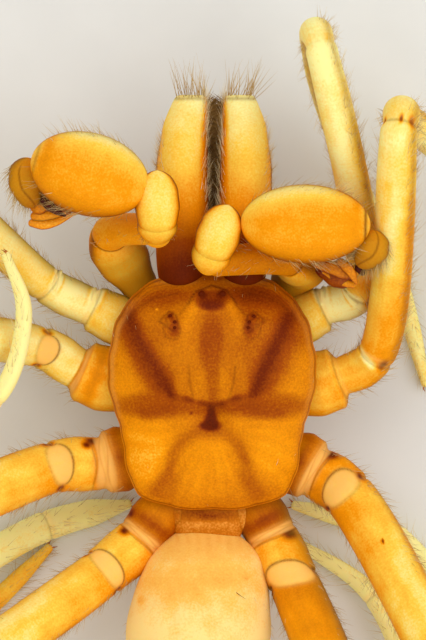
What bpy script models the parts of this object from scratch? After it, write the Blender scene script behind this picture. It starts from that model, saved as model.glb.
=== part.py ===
"""A male purse-web spider (Calommata sundaica), life size, standing on its feet.

The animal is divided where a person would name its parts: carapace, sternum,
chelicerae and fangs, palps, eight legs in four lengths each, pedicel, abdomen,
spinnerets and eyes.  X points to the spider's right, Y to its head and Z up.
Every measure is in millimetres until the finished mesh is brought to metres.
The spider stands on the plane Z = 0, with its tarsi flattened where they rest.
"""

import math
from dataclasses import dataclass

import bmesh
import bpy
from mathutils import Matrix, Vector

MM = 0.001

# Driving dimensions of the body
CARAPACE_LENGTH = 4.27
CARAPACE_CENTRE = Vector((0.0, -0.30))
RIM_HEIGHT = 2.65
CORE_DEPTH = 1.00
BRIM_DEPTH = 0.12
FLOOR = 0.0

# Clearances between neighbouring pieces
JOINT_GAP = 0.12
EYE_GAP = 0.03

# A limb's rounded end: (distance from the end, radius), both in shares of the radius there
END_ROUNDING = ((0.0, 0.55), (0.22, 0.86), (0.60, 1.0))

# Radius of a limb where it narrows to a joint, as a share of its full radius
JOINT_TAPER = 0.86

# Radii of the carapace's right half about its centre, in shares of its length,
# at degrees from +X
CARAPACE_OUTLINE = (
    (-90.0, 0.390),
    (-66.0, 0.416),
    (-47.0, 0.454),
    (-34.0, 0.429),
    (-18.0, 0.393),
    (-5.0, 0.392),
    (5.0, 0.416),
    (20.0, 0.469),
    (34.0, 0.521),
    (46.0, 0.577),
    (57.0, 0.612),
    (66.0, 0.628),
    (76.0, 0.620),
    (90.0, 0.610),
)

# How steeply the carapace rises from its rim, and how fast its bumps grow there
DOME_POWER = 0.85
BUMP_GROWTH = 2.5

# Depth below the rim, as a share of the ball, where the core starts and how far it blends
CORE_STARTS = 0.43
CORE_BLEND = 0.42

# The core fills the front, where the outline faces forwards past this sine
FRONT_STARTS = 0.90
FRONT_BLEND = 0.05
FRONT_FULLNESS = 0.95
FRONT_GROWTH = 1.2

# The sternum: a smaller disc of the carapace's outline
STERNUM_SHARE = 0.60
STERNUM_BLUNT = 0.8
STERNUM_LEVEL = 1.33
STERNUM_RISE = 0.16
STERNUM_DROP = 0.24

# Height of the carapace above its rim along the body, from tail to head
CARAPACE_CROWN = (
    (-2.1, 0.38),
    (-1.2, 0.66),
    (-0.3, 0.80),
    (0.6, 0.98),
    (1.4, 1.04),
    (2.0, 0.92),
    (2.3, 0.80),
)

# Share of the outline's radius, and drop below the rim, under the carapace
UNDERSIDE = (
    (0.00, 1.00, 0.00),
    (0.22, 0.96, 0.70),
    (0.43, 0.60, 1.00),
    (0.62, 0.56, 1.00),
    (0.78, 0.52, 1.00),
    (0.90, 0.40, 1.00),
    (0.98, 0.20, 1.00),
    (1.00, 0.00, 1.00),
)

# Materials: base colour, roughness
COLOURS = {
    "carapace_amber": ((0.62, 0.27, 0.07, 1.0), 0.32),
    "chelicera_russet": ((0.50, 0.17, 0.04, 1.0), 0.30),
    "limb_amber": ((0.72, 0.38, 0.12, 1.0), 0.35),
    "limb_pale": ((0.84, 0.66, 0.40, 1.0), 0.38),
    "abdomen_cream": ((0.85, 0.68, 0.50, 1.0), 0.55),
    "fang_dark": ((0.16, 0.04, 0.02, 1.0), 0.22),
    "eye_dark": ((0.03, 0.01, 0.01, 1.0), 0.08),
    "bulb_red": ((0.48, 0.14, 0.05, 1.0), 0.25),
}


def interpolate(stations, place, column=1):
    """Read a smooth value at a place from rows of (place, value, ...)."""
    if place <= stations[0][0]:
        return stations[0][column]
    for low, high in zip(stations, stations[1:]):
        if place <= high[0]:
            share = (place - low[0]) / (high[0] - low[0])
            ease = share * share * (3.0 - 2.0 * share)
            mixed = 0.5 * (share + ease)
            return low[column] + (high[column] - low[column]) * mixed
    return stations[-1][column]


def make_materials():
    """One Principled material for each finish of the animal."""
    materials = {}
    for name, (colour, roughness) in COLOURS.items():
        material = bpy.data.materials.new(name)
        material.use_nodes = True
        shader = material.node_tree.nodes["Principled BSDF"]
        shader.inputs["Base Color"].default_value = colour
        shader.inputs["Roughness"].default_value = roughness
        shader.inputs["Metallic"].default_value = 0.0
        materials[name] = material
    return materials


class Animal:
    """Collects the finished nodes under one empty."""

    def __init__(self):
        self.collection = bpy.data.collections.new("purse_web_spider")
        bpy.context.scene.collection.children.link(self.collection)
        self.root = bpy.data.objects.new("spider_origin", None)
        self.collection.objects.link(self.root)
        self.materials = make_materials()
        self.nodes = []

    def add(self, name, mesh, finish):
        """Turn a closed mesh in millimetres into a node of the animal."""
        mesh.transform(Matrix.Scale(MM, 4))
        mesh.name = name
        mesh.materials.clear()
        mesh.materials.append(self.materials[finish])
        mesh.shade_smooth()
        node = bpy.data.objects.new(name, mesh)
        node.parent = self.root
        self.collection.objects.link(node)
        self.nodes.append(node)
        return node

    def stand_at_origin(self):
        """Move the whole animal so that its box stands on the world's origin."""
        corners = [vertex.co for node in self.nodes for vertex in node.data.vertices]
        low = [min(corner[axis] for corner in corners) for axis in range(3)]
        high = [max(corner[axis] for corner in corners) for axis in range(3)]
        self.root.location = (-(low[0] + high[0]) / 2.0, -(low[1] + high[1]) / 2.0, -low[2])


def finish_mesh(bm, name):
    """Weld a bmesh, point its faces outwards and hand it over as a mesh."""
    bmesh.ops.remove_doubles(bm, verts=bm.verts, dist=0.0005)
    bmesh.ops.recalc_face_normals(bm, faces=bm.faces)
    mesh = bpy.data.meshes.new(name)
    bm.to_mesh(mesh)
    bm.free()
    return mesh


def shaped_sphere(name, sides, rings, shape, along_y=False):
    """A UV sphere whose unit points are moved by a shape function."""
    bm = bmesh.new()
    bmesh.ops.create_uvsphere(bm, u_segments=sides, v_segments=rings, radius=1.0)
    if along_y:
        bmesh.ops.rotate(bm, verts=bm.verts, matrix=Matrix.Rotation(-math.pi / 2.0, 3, "X"))
    for vertex in bm.verts:
        vertex.co = shape(vertex.co.copy())
    return finish_mesh(bm, name)


def egg(name, back, front, width, height, centre_x, centre_z, blunt, sides, rings):
    """A rounded body along Y, with half sizes and centres read along its length."""

    def shape(point):
        share = (1.0 + point.y) / 2.0
        reach = math.hypot(point.x, point.z)
        swell = reach**blunt / reach if reach > 1e-6 else 0.0
        x = interpolate(centre_x, share) + point.x * swell * interpolate(width, share)
        z = interpolate(centre_z, share) + point.z * swell * interpolate(height, share)
        return Vector((x, back + (front - back) * share, z))

    return shaped_sphere(name, sides, rings, shape, along_y=True)


class CentreLine:
    """A smooth line through a limb's joints, read by joint number."""

    STEPS = 24

    def __init__(self, joints):
        points = [Vector(joint) for joint in joints]
        first = points[0] * 2.0 - points[1]
        last = points[-1] * 2.0 - points[-2]
        self.knots = [first, *points, last]

    def at(self, place):
        """The point at a fractional joint number, by a centripetal spline."""
        span = min(int(place), len(self.knots) - 4)
        a, b, c, d = self.knots[span : span + 4]
        times = [0.0]
        for start, end in ((a, b), (b, c), (c, d)):
            times.append(times[-1] + max((end - start).length, 1e-4) ** 0.5)
        now = times[1] + (times[2] - times[1]) * (place - span)

        def mix(p, q, low, high):
            return p * ((high - now) / (high - low)) + q * ((now - low) / (high - low))

        ab = mix(a, b, times[0], times[1])
        bc = mix(b, c, times[1], times[2])
        cd = mix(c, d, times[2], times[3])
        abc = mix(ab, bc, times[0], times[2])
        bcd = mix(bc, cd, times[1], times[3])
        return mix(abc, bcd, times[1], times[2])

    def stretch(self, start, end):
        """Dense points with their joint numbers, from one joint to another."""
        count = max(2, round((end - start) * self.STEPS))
        places = [start + (end - start) * step / count for step in range(count + 1)]
        return [(place, self.at(place)) for place in places]


def limb_mesh(name, line, start, end, radii, detail=0.45, resolution=3, flatness=1.0):
    """A tapered tube on a stretch of a centre line, with rounded ends.

    radii holds (joint number, radius) rows; the tube stops half a joint gap
    short of both ends and its rings stand closer where the ends round off.
    A flatness below one lowers the tube's height about its centre line.
    """
    dense = line.stretch(start, end)
    marks = [0.0]
    for (_, near), (_, far) in zip(dense, dense[1:]):
        marks.append(marks[-1] + (far - near).length)

    def locate(distance):
        for index in range(len(marks) - 1):
            if distance <= marks[index + 1]:
                share = (distance - marks[index]) / (marks[index + 1] - marks[index])
                place = dense[index][0] + (dense[index + 1][0] - dense[index][0]) * share
                return place, dense[index][1].lerp(dense[index + 1][1], share)
        return dense[-1]

    length = marks[-1]
    begin, stop = JOINT_GAP / 2.0, length - JOINT_GAP / 2.0
    first = interpolate(radii, start)
    last = interpolate(radii, end)
    rings = [(begin + along * first, share) for along, share in END_ROUNDING]
    full_from = rings[-1][0]
    inner = stop - END_ROUNDING[-1][0] * last - full_from
    count = max(1, round(inner / detail))
    rings += [(full_from + inner * step / count, 1.0) for step in range(1, count + 1)]
    rings += [(stop - along * last, share) for along, share in reversed(END_ROUNDING[:-1])]

    curve = bpy.data.curves.new(name, "CURVE")
    curve.dimensions = "3D"
    curve.bevel_depth = 1.0
    curve.bevel_resolution = resolution
    curve.use_fill_caps = True
    spline = curve.splines.new("POLY")
    spline.points.add(len(rings) - 1)
    for point, (distance, share) in zip(spline.points, rings):
        place, centre = locate(distance)
        point.co = (*centre, 1.0)
        point.radius = share * interpolate(radii, place)
    centres = [point.co.to_3d() for point in spline.points]
    return mesh_of_curve(curve, name, centres, flatness)


def mesh_of_curve(curve, name, centres, flatness):
    """Convert a bevelled curve to one closed mesh that stands on the floor."""
    guide = bpy.data.objects.new(name + "_guide", curve)
    bpy.context.scene.collection.objects.link(guide)
    graph = bpy.context.evaluated_depsgraph_get()
    mesh = bpy.data.meshes.new_from_object(guide.evaluated_get(graph))
    bpy.data.objects.remove(guide)
    bpy.data.curves.remove(curve)
    bm = bmesh.new()
    bm.from_mesh(mesh)
    bpy.data.meshes.remove(mesh)
    for vertex in bm.verts:
        level = min(centres, key=lambda centre: (centre - vertex.co).length_squared).z
        vertex.co.z = max(level + (vertex.co.z - level) * flatness, FLOOR)
    return finish_mesh(bm, name)


# The carapace and what it carries


def outline_radius(angle):
    """Radius of the carapace's outline at an angle in radians from +X."""
    degrees = math.degrees(angle)
    if degrees > 90.0:
        degrees = 180.0 - degrees
    elif degrees < -90.0:
        degrees = -180.0 - degrees
    return CARAPACE_LENGTH * interpolate(CARAPACE_OUTLINE, degrees)


@dataclass
class Bump:
    """A local rise or pit of the carapace's surface."""

    x: float
    y: float
    wide: float
    long: float
    rise: float

    def lift(self, x, y):
        """Height that this bump adds at a place."""
        reach = ((x - self.x) / self.wide) ** 2 + ((y - self.y) / self.long) ** 2
        return self.rise * math.exp(-reach)


EYE_TUBERCLE = Bump(x=0.03, y=1.84, wide=0.42, long=0.30, rise=0.14)
LATERAL_TUBERCLES = (
    Bump(x=-0.70, y=1.40, wide=0.24, long=0.26, rise=0.06),
    Bump(x=0.73, y=1.40, wide=0.24, long=0.26, rise=0.06),
)
FOVEA = Bump(x=0.0, y=-0.30, wide=0.26, long=0.30, rise=-0.22)
BUMPS = (EYE_TUBERCLE, *LATERAL_TUBERCLES, FOVEA)


def carapace_top(x, y):
    """Height of the carapace's upper surface above the floor at a place."""
    offset = Vector((x, y)) - CARAPACE_CENTRE
    reach = offset.length / outline_radius(math.atan2(offset.y, offset.x))
    dome = math.sqrt(max(0.0, 1.0 - min(reach, 1.0) ** 2)) ** DOME_POWER
    bumps = sum(bump.lift(x, y) for bump in BUMPS) * min(1.0, BUMP_GROWTH * dome)
    return RIM_HEIGHT + interpolate(CARAPACE_CROWN, y) * dome + bumps


def carapace_point(point):
    """Place of a unit sphere's point on the carapace and its core."""
    angle = math.atan2(point.y, point.x)
    reach = min(1.0, math.hypot(point.x, point.y))
    radius = outline_radius(angle)
    heading = Vector((math.cos(angle), math.sin(angle)))
    if point.z >= 0.0:
        place = CARAPACE_CENTRE + heading * radius * reach
        return Vector((place.x, place.y, carapace_top(place.x, place.y)))
    depth = -point.z
    share = interpolate(UNDERSIDE, depth)
    facing = min(1.0, max(0.0, (math.sin(angle) - FRONT_STARTS) / FRONT_BLEND))
    full_front = min(FRONT_FULLNESS, FRONT_GROWTH * reach)
    share += (max(share, full_front) - share) * facing
    place = CARAPACE_CENTRE + heading * radius * share
    brim = BRIM_DEPTH * interpolate(UNDERSIDE, depth, column=2)
    core = CORE_DEPTH * min(1.0, max(0.0, (depth - CORE_STARTS) / CORE_BLEND))
    return Vector((place.x, place.y, RIM_HEIGHT - max(brim, core)))


def make_prosoma(animal):
    """Carapace with its core, the sternum below and the pedicel behind."""
    carapace = shaped_sphere("carapace", 32, 16, carapace_point)
    animal.add("carapace", carapace, "carapace_amber")

    def sternum_point(point):
        angle = math.atan2(point.y, point.x)
        reach = math.hypot(point.x, point.y) ** STERNUM_BLUNT
        heading = Vector((math.cos(angle), math.sin(angle)))
        place = CARAPACE_CENTRE + heading * outline_radius(angle) * STERNUM_SHARE * reach
        thick = STERNUM_RISE if point.z > 0.0 else STERNUM_DROP
        return Vector((place.x, place.y, STERNUM_LEVEL + thick * point.z))

    sternum = shaped_sphere("sternum", 20, 8, sternum_point)
    animal.add("sternum", sternum, "limb_amber")

    pedicel = egg(
        "pedicel",
        back=-2.44,
        front=-1.40,
        width=((0.0, 0.44), (1.0, 0.36)),
        height=((0.0, 0.26), (1.0, 0.30)),
        centre_x=((0.0, -0.08), (1.0, 0.0)),
        centre_z=((0.0, 2.18), (1.0, 2.10)),
        blunt=0.4,
        sides=12,
        rings=6,
    )
    animal.add("pedicel", pedicel, "limb_amber")


@dataclass
class Eye:
    """One simple eye: its place on the carapace and its radius."""

    x: float
    y: float
    radius: float

    def lens(self, name, rise=0.75, sink=0.25):
        """A low dome that stands just clear of the carapace."""
        floor = carapace_top(self.x, self.y) + EYE_GAP

        def shape(point):
            height = rise if point.z > 0.0 else sink
            z = floor + self.radius * (sink + height * point.z)
            return Vector((self.x + self.radius * point.x, self.y + self.radius * point.y, z))

        return shaped_sphere(name, 12, 8, shape)


MEDIAN_EYES = {
    "left": Eye(x=-0.20, y=1.91, radius=0.075),
    "right": Eye(x=0.20, y=1.91, radius=0.075),
}
LATERAL_EYES = {
    "left": (Eye(-0.74, 1.46, 0.062), Eye(-0.64, 1.45, 0.055), Eye(-0.69, 1.36, 0.058)),
    "right": (Eye(0.77, 1.46, 0.062), Eye(0.67, 1.45, 0.055), Eye(0.72, 1.36, 0.058)),
}
EYE_PAD_RADIUS = 0.12


def joined(name, meshes):
    """One Boolean union of closed meshes, as a single mesh."""
    pieces = bpy.data.collections.new(name + "_pieces")
    bpy.context.scene.collection.children.link(pieces)
    objects = []
    for mesh in meshes:
        piece = bpy.data.objects.new(mesh.name, mesh)
        pieces.objects.link(piece)
        objects.append(piece)
    base = objects[0]
    pieces.objects.unlink(base)
    bpy.context.scene.collection.objects.link(base)
    union = base.modifiers.new("union", "BOOLEAN")
    union.operation = "UNION"
    union.operand_type = "COLLECTION"
    union.collection = pieces
    union.solver = "EXACT"
    graph = bpy.context.evaluated_depsgraph_get()
    result = bpy.data.meshes.new_from_object(base.evaluated_get(graph))
    for piece in objects:
        bpy.data.objects.remove(piece)
    bpy.data.collections.remove(pieces)
    return result


def make_eyes(animal):
    """Two median eyes on their tubercle and a triad of small eyes on each side."""
    for side, eye in MEDIAN_EYES.items():
        animal.add(f"eye_median_{side}", eye.lens(f"eye_median_{side}"), "eye_dark")
    for side, eyes in LATERAL_EYES.items():
        name = f"eye_group_{side}"
        middle_x = sum(eye.x for eye in eyes) / len(eyes)
        middle_y = sum(eye.y for eye in eyes) / len(eyes)
        pad = Eye(middle_x, middle_y, EYE_PAD_RADIUS).lens(f"{name}_pad", rise=0.30, sink=0.15)
        lenses = [eye.lens(f"{name}_{number}") for number, eye in enumerate(eyes)]
        animal.add(name, joined(name, [pad, *lenses]), "eye_dark")


# Chelicerae and fangs


@dataclass
class Chelicera:
    """One basal segment: centre line and half widths from base to tip."""

    side: str
    centre: tuple
    width: tuple
    tip: float

    BASE = 2.34
    HEIGHT = ((0.0, 0.70), (0.25, 0.78), (0.7, 0.66), (1.0, 0.40))
    LEVEL = ((0.0, 2.62), (0.25, 2.66), (0.7, 2.56), (1.0, 2.36))

    # The fang's joints: share of its slant inwards, distance past the tip, height
    FANG_SLANT = 0.12
    FANG_JOINTS = ((0.0, 0.02, 1.96), (0.5, -0.45, 1.52), (1.0, -1.35, 1.50), (1.5, -2.15, 1.66))
    FANG_RADII = ((0.0, 0.13), (0.6, 0.17), (1.0, 0.16), (2.0, 0.12), (3.0, 0.05))

    def make(self, animal):
        """The swollen basal segment and the fang folded under it."""
        name = f"chelicera_{self.side}"
        body = egg(
            name,
            back=self.BASE,
            front=self.tip,
            width=self.width,
            height=self.HEIGHT,
            centre_x=self.centre,
            centre_z=self.LEVEL,
            blunt=0.36,
            sides=16,
            rings=16,
        )
        animal.add(name, body, "chelicera_russet")
        tip_x = interpolate(self.centre, 0.95)
        inward = -self.FANG_SLANT if self.side == "right" else self.FANG_SLANT
        joints = [(tip_x + share * inward, self.tip + past, z) for share, past, z in self.FANG_JOINTS]
        fang = limb_mesh(f"fang_{self.side}", CentreLine(joints), 0.0, 3.0, self.FANG_RADII)
        animal.add(f"fang_{self.side}", fang, "fang_dark")


CHELICERAE = (
    Chelicera(
        side="left",
        centre=((0.0, -0.56), (0.3, -0.57), (0.6, -0.57), (0.8, -0.51), (1.0, -0.34)),
        width=((0.0, 0.51), (0.3, 0.50), (0.6, 0.47), (0.8, 0.44), (1.0, 0.38)),
        tip=5.50,
    ),
    Chelicera(
        side="right",
        centre=((0.0, 0.54), (0.3, 0.60), (0.6, 0.66), (0.8, 0.62), (1.0, 0.50)),
        width=((0.0, 0.50), (0.3, 0.48), (0.6, 0.46), (0.8, 0.43), (1.0, 0.38)),
        tip=5.50,
    ),
)


# Abdomen and spinnerets

# The spinnerets' joints: share of their distance from the middle, Y and height
SPINNERET_MIDDLE = -0.42
SPINNERET_SPREAD = 0.24
SPINNERET_JOINTS = ((1.0, -7.18, 1.90), (1.2, -7.72, 1.98), (1.5, -8.25, 2.16))
SPINNERET_RADII = ((0.0, 0.20), (1.0, 0.17), (2.0, 0.10))


def make_abdomen(animal):
    """The soft egg-shaped abdomen and its two long spinnerets."""
    abdomen = egg(
        "abdomen",
        back=-7.25,
        front=-2.54,
        width=((0.0, 0.70), (0.2, 1.08), (0.45, 1.33), (0.7, 1.30), (0.88, 1.10), (1.0, 0.66)),
        height=((0.0, 0.62), (0.2, 1.02), (0.45, 1.28), (0.7, 1.24), (0.88, 1.00), (1.0, 0.56)),
        centre_x=((0.0, -0.42), (0.5, -0.30), (1.0, -0.16)),
        centre_z=((0.0, 2.05), (0.5, 2.35), (1.0, 2.25)),
        blunt=0.62,
        sides=24,
        rings=18,
    )
    animal.add("abdomen", abdomen, "abdomen_cream")
    for side, offset in (("left", -SPINNERET_SPREAD), ("right", SPINNERET_SPREAD)):
        joints = [(SPINNERET_MIDDLE + share * offset, y, z) for share, y, z in SPINNERET_JOINTS]
        name = f"spinneret_{side}"
        mesh = limb_mesh(name, CentreLine(joints), 0.0, 2.0, SPINNERET_RADII, detail=0.3)
        animal.add(name, mesh, "limb_pale")


# Legs


@dataclass
class Leg:
    """The joints of one leg, and the radii of its coxa, trochanter and femur.

    joints run from the hip through trochanter, femur base, knee, end of the
    patella, end of the tibia and end of the metatarsus to the claw.
    """

    name: str
    coxa: float
    trochanter: float
    femur: float
    joints: tuple
    extra_bend: tuple = ()

    HIP = 0.40
    COXA_HEIGHT = 0.47
    TIBIA = 0.29
    METATARSUS = 0.26
    TARSUS = 0.23
    CLAW = 0.11

    def make(self, animal):
        """Coxa with trochanter, femur, patella with tibia, metatarsus with tarsus."""
        line = CentreLine((*self.joints, *self.extra_bend))
        last = len(self.joints) + len(self.extra_bend) - 1.0
        coxa = (
            (0.0, self.HIP),
            (0.6, self.coxa),
            (0.9, JOINT_TAPER * self.coxa),
            (1.06, 0.90 * self.trochanter),
            (1.5, self.trochanter),
            (2.0, JOINT_TAPER * self.trochanter),
        )
        femur = (
            (2.0, JOINT_TAPER * self.trochanter),
            (2.25, self.femur),
            (2.7, self.femur),
            (3.0, JOINT_TAPER * self.femur),
        )
        tibia = (
            (3.0, JOINT_TAPER * self.femur),
            (3.5, 0.95 * self.femur),
            (4.0, 0.95 * self.TIBIA),
            (4.4, 1.08 * self.TIBIA),
            (5.0, 0.92 * self.TIBIA),
        )
        tarsus = (
            (5.0, self.METATARSUS),
            (5.5, self.METATARSUS),
            (6.0, 0.95 * self.TARSUS),
            (0.5 * (6.0 + last), self.TARSUS),
            (last, self.CLAW),
        )
        flatness = min(1.0, self.COXA_HEIGHT / self.coxa)
        lengths = (
            ("coxa", 0.0, 2.0, coxa, "limb_pale", 0.30, flatness),
            ("femur", 2.0, 3.0, femur, "limb_amber", 0.70, 1.0),
            ("tibia", 3.0, 5.0, tibia, "limb_amber", 0.42, 1.0),
            ("tarsus", 5.0, last, tarsus, "limb_pale", 0.50, 1.0),
        )
        for part, start, end, radii, finish, detail, flat in lengths:
            name = f"{self.name}_{part}"
            mesh = limb_mesh(name, line, start, end, radii, detail, flatness=flat)
            animal.add(name, mesh, finish)


LEGS = (
    Leg(
        name="leg_1_right",
        coxa=0.46,
        trochanter=0.35,
        femur=0.31,
        joints=(
            (1.10, 1.14, 2.04),
            (2.03, 1.67, 2.04),
            (2.66, 1.95, 2.24),
            (1.92, 6.44, 4.60),
            (1.86, 6.56, 3.25),
            (2.36, 4.60, 1.20),
            (3.38, 2.16, 0.24),
            (3.90, 0.22, 0.10),
        ),
    ),
    Leg(
        name="leg_2_right",
        coxa=0.60,
        trochanter=0.37,
        femur=0.36,
        joints=(
            (1.16, 0.12, 2.04),
            (2.33, 0.42, 2.04),
            (2.95, 0.80, 2.34),
            (3.36, 4.92, 4.60),
            (3.50, 5.06, 3.30),
            (4.64, 3.78, 1.20),
            (4.72, 1.08, 0.24),
            (4.86, -0.90, 0.10),
        ),
    ),
    Leg(
        name="leg_3_right",
        coxa=0.60,
        trochanter=0.50,
        femur=0.48,
        joints=(
            (1.14, -0.94, 2.04),
            (1.86, -1.30, 2.04),
            (2.46, -1.72, 2.26),
            (4.64, -5.67, 4.50),
            (4.98, -5.98, 3.15),
            (4.61, -4.32, 1.20),
            (3.29, -2.47, 0.24),
            (1.44, -1.91, 0.10),
        ),
    ),
    Leg(
        name="leg_4_right",
        coxa=0.48,
        trochanter=0.49,
        femur=0.49,
        joints=(
            (0.70, -1.72, 2.04),
            (1.08, -2.46, 2.04),
            (1.47, -3.28, 2.28),
            (3.24, -7.42, 4.50),
            (3.54, -7.76, 3.15),
            (3.83, -6.12, 1.20),
            (2.93, -3.60, 0.24),
            (1.55, -2.59, 0.10),
        ),
    ),
    Leg(
        name="leg_1_left",
        coxa=0.46,
        trochanter=0.36,
        femur=0.36,
        joints=(
            (-1.10, 1.14, 2.04),
            (-2.18, 1.67, 2.04),
            (-3.00, 2.09, 2.28),
            (-6.07, 5.08, 4.60),
            (-6.32, 5.28, 3.20),
            (-6.07, 3.15, 1.20),
            (-5.53, 0.72, 0.24),
            (-5.35, -0.90, 0.10),
        ),
    ),
    Leg(
        name="leg_2_left",
        coxa=0.60,
        trochanter=0.40,
        femur=0.41,
        joints=(
            (-1.16, 0.14, 2.04),
            (-2.40, 0.55, 2.04),
            (-3.10, 0.95, 2.30),
            (-7.60, 1.26, 4.60),
            (-7.98, 1.04, 3.20),
            (-6.16, -0.72, 1.70),
            (-3.82, 0.04, 3.16),
            (-3.24, 1.58, 3.42),
        ),
        extra_bend=((-3.67, 2.66, 3.46),),
    ),
    Leg(
        name="leg_3_left",
        coxa=0.60,
        trochanter=0.50,
        femur=0.49,
        joints=(
            (-1.14, -0.94, 2.04),
            (-1.98, -1.14, 2.04),
            (-2.88, -1.22, 2.28),
            (-6.97, -3.06, 4.60),
            (-7.34, -3.30, 3.20),
            (-5.26, -3.42, 1.20),
            (-3.00, -2.30, 0.24),
            (-1.46, -1.89, 0.10),
        ),
    ),
    Leg(
        name="leg_4_left",
        coxa=0.48,
        trochanter=0.48,
        femur=0.47,
        joints=(
            (-0.72, -1.72, 2.04),
            (-1.28, -2.50, 2.04),
            (-1.98, -3.12, 2.28),
            (-5.58, -5.69, 4.60),
            (-5.90, -6.00, 3.20),
            (-6.16, -5.22, 1.20),
            (-4.18, -3.87, 0.24),
            (-2.92, -2.66, 0.10),
        ),
    ),
)


# Palps


@dataclass
class Palp:
    """A male palp: its limb, the swollen tibia, and the organ at its end.

    The tibia is an ellipsoid between two end points, cut off at tibia_start,
    a share of its length, where the patella covers it.
    """

    side: str
    coxa: tuple
    femur_knee: tuple
    patella: tuple
    tibia: tuple
    tibia_start: float
    tibia_radius: float
    cymbium: tuple
    bulb: tuple

    COXA_RADII = ((0.0, 0.28), (1.0, 0.40), (1.5, 0.42), (2.0, 0.32))
    FEMUR_RADII = ((2.0, 0.27), (2.5, 0.29), (3.0, 0.27))
    PATELLA_RADII = ((0.0, 0.24), (0.25, 0.34), (0.55, 0.38), (0.85, 0.33), (1.0, 0.24))
    TIBIA_END = 0.97
    TIBIA_STEPS = 12
    CYMBIUM_RADII = ((0.0, 0.22), (1.0, 0.26), (2.0, 0.18))
    BULB_RADII = ((0.0, 0.20), (0.6, 0.28), (1.0, 0.25), (1.6, 0.12), (2.0, 0.06))

    def tibia_radii(self):
        """Radii of the ellipsoid along its length."""
        places = [step / self.TIBIA_STEPS for step in range(self.TIBIA_STEPS + 1)]
        shares = [math.sqrt(1.0 - (2.0 * place - 1.0) ** 2) for place in places]
        return tuple((place, self.tibia_radius * share) for place, share in zip(places, shares))

    def make(self, animal):
        """Six nodes from the coxa to the bulb with its embolus."""
        limb = (*self.coxa, self.femur_knee)
        tibia_radii = self.tibia_radii()
        lengths = (
            ("coxa", limb, 0.0, 2.0, self.COXA_RADII, "limb_pale"),
            ("femur", limb, 2.0, 3.0, self.FEMUR_RADII, "limb_amber"),
            ("patella", self.patella, 0.0, 1.0, self.PATELLA_RADII, "limb_pale"),
            ("tibia", self.tibia, self.tibia_start, self.TIBIA_END, tibia_radii, "limb_amber"),
            ("cymbium", self.cymbium, 0.0, 2.0, self.CYMBIUM_RADII, "limb_pale"),
            ("bulb", self.bulb, 0.0, 2.0, self.BULB_RADII, "bulb_red"),
        )
        for part, joints, start, end, radii, finish in lengths:
            name = f"palp_{self.side}_{part}"
            resolution = 5 if part == "tibia" else 3
            mesh = limb_mesh(name, CentreLine(joints), start, end, radii, 0.26, resolution)
            animal.add(name, mesh, finish)


PALPS = (
    Palp(
        side="left",
        coxa=((-1.34, 2.12, 2.02), (-1.58, 2.50, 2.16), (-1.84, 2.98, 2.66)),
        femur_knee=(-1.02, 3.04, 3.86),
        patella=((-0.98, 2.93, 4.28), (-0.98, 4.12, 4.46)),
        tibia=((-1.15, 3.76, 4.46), (-3.24, 4.34, 4.46)),
        tibia_start=0.11,
        tibia_radius=0.745,
        cymbium=((-3.30, 4.34, 4.20), (-3.34, 3.90, 4.02), (-3.20, 3.46, 3.90)),
        bulb=((-3.10, 3.50, 3.50), (-2.80, 3.40, 3.42), (-2.46, 3.50, 3.34)),
    ),
    Palp(
        side="right",
        coxa=((1.40, 2.14, 2.02), (1.62, 2.44, 2.40), (1.38, 2.56, 3.12)),
        femur_knee=(0.24, 2.50, 3.82),
        patella=((-0.06, 2.46, 4.10), (0.30, 3.50, 4.28)),
        tibia=((0.51, 3.18, 4.28), (2.84, 3.14, 4.28)),
        tibia_start=0.06,
        tibia_radius=0.71,
        cymbium=((2.88, 3.06, 4.10), (2.86, 2.70, 4.06), (2.62, 2.40, 3.96)),
        bulb=((2.54, 2.34, 3.58), (2.20, 2.26, 3.46), (1.86, 2.34, 3.38)),
    ),
)


def main():
    """Build the whole animal and stand it on the floor."""
    for leftover in list(bpy.data.objects):
        bpy.data.objects.remove(leftover)
    animal = Animal()
    make_prosoma(animal)
    make_eyes(animal)
    for chelicera in CHELICERAE:
        chelicera.make(animal)
    make_abdomen(animal)
    for leg in LEGS:
        leg.make(animal)
    for palp in PALPS:
        palp.make(animal)
    animal.stand_at_origin()


main()
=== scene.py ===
"""Looks of a male purse-web spider (Calommata sundaica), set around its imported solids.

X points to the spider's right, Y to its head and Z up.  Sizes are millimetres in the
animal's own frame, whose origin lies under the middle of the carapace on the floor;
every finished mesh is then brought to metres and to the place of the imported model.
"""

import logging
import math
from dataclasses import dataclass, field
from enum import IntEnum

import bpy
import numpy as np
from mathutils import Matrix, Vector

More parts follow.
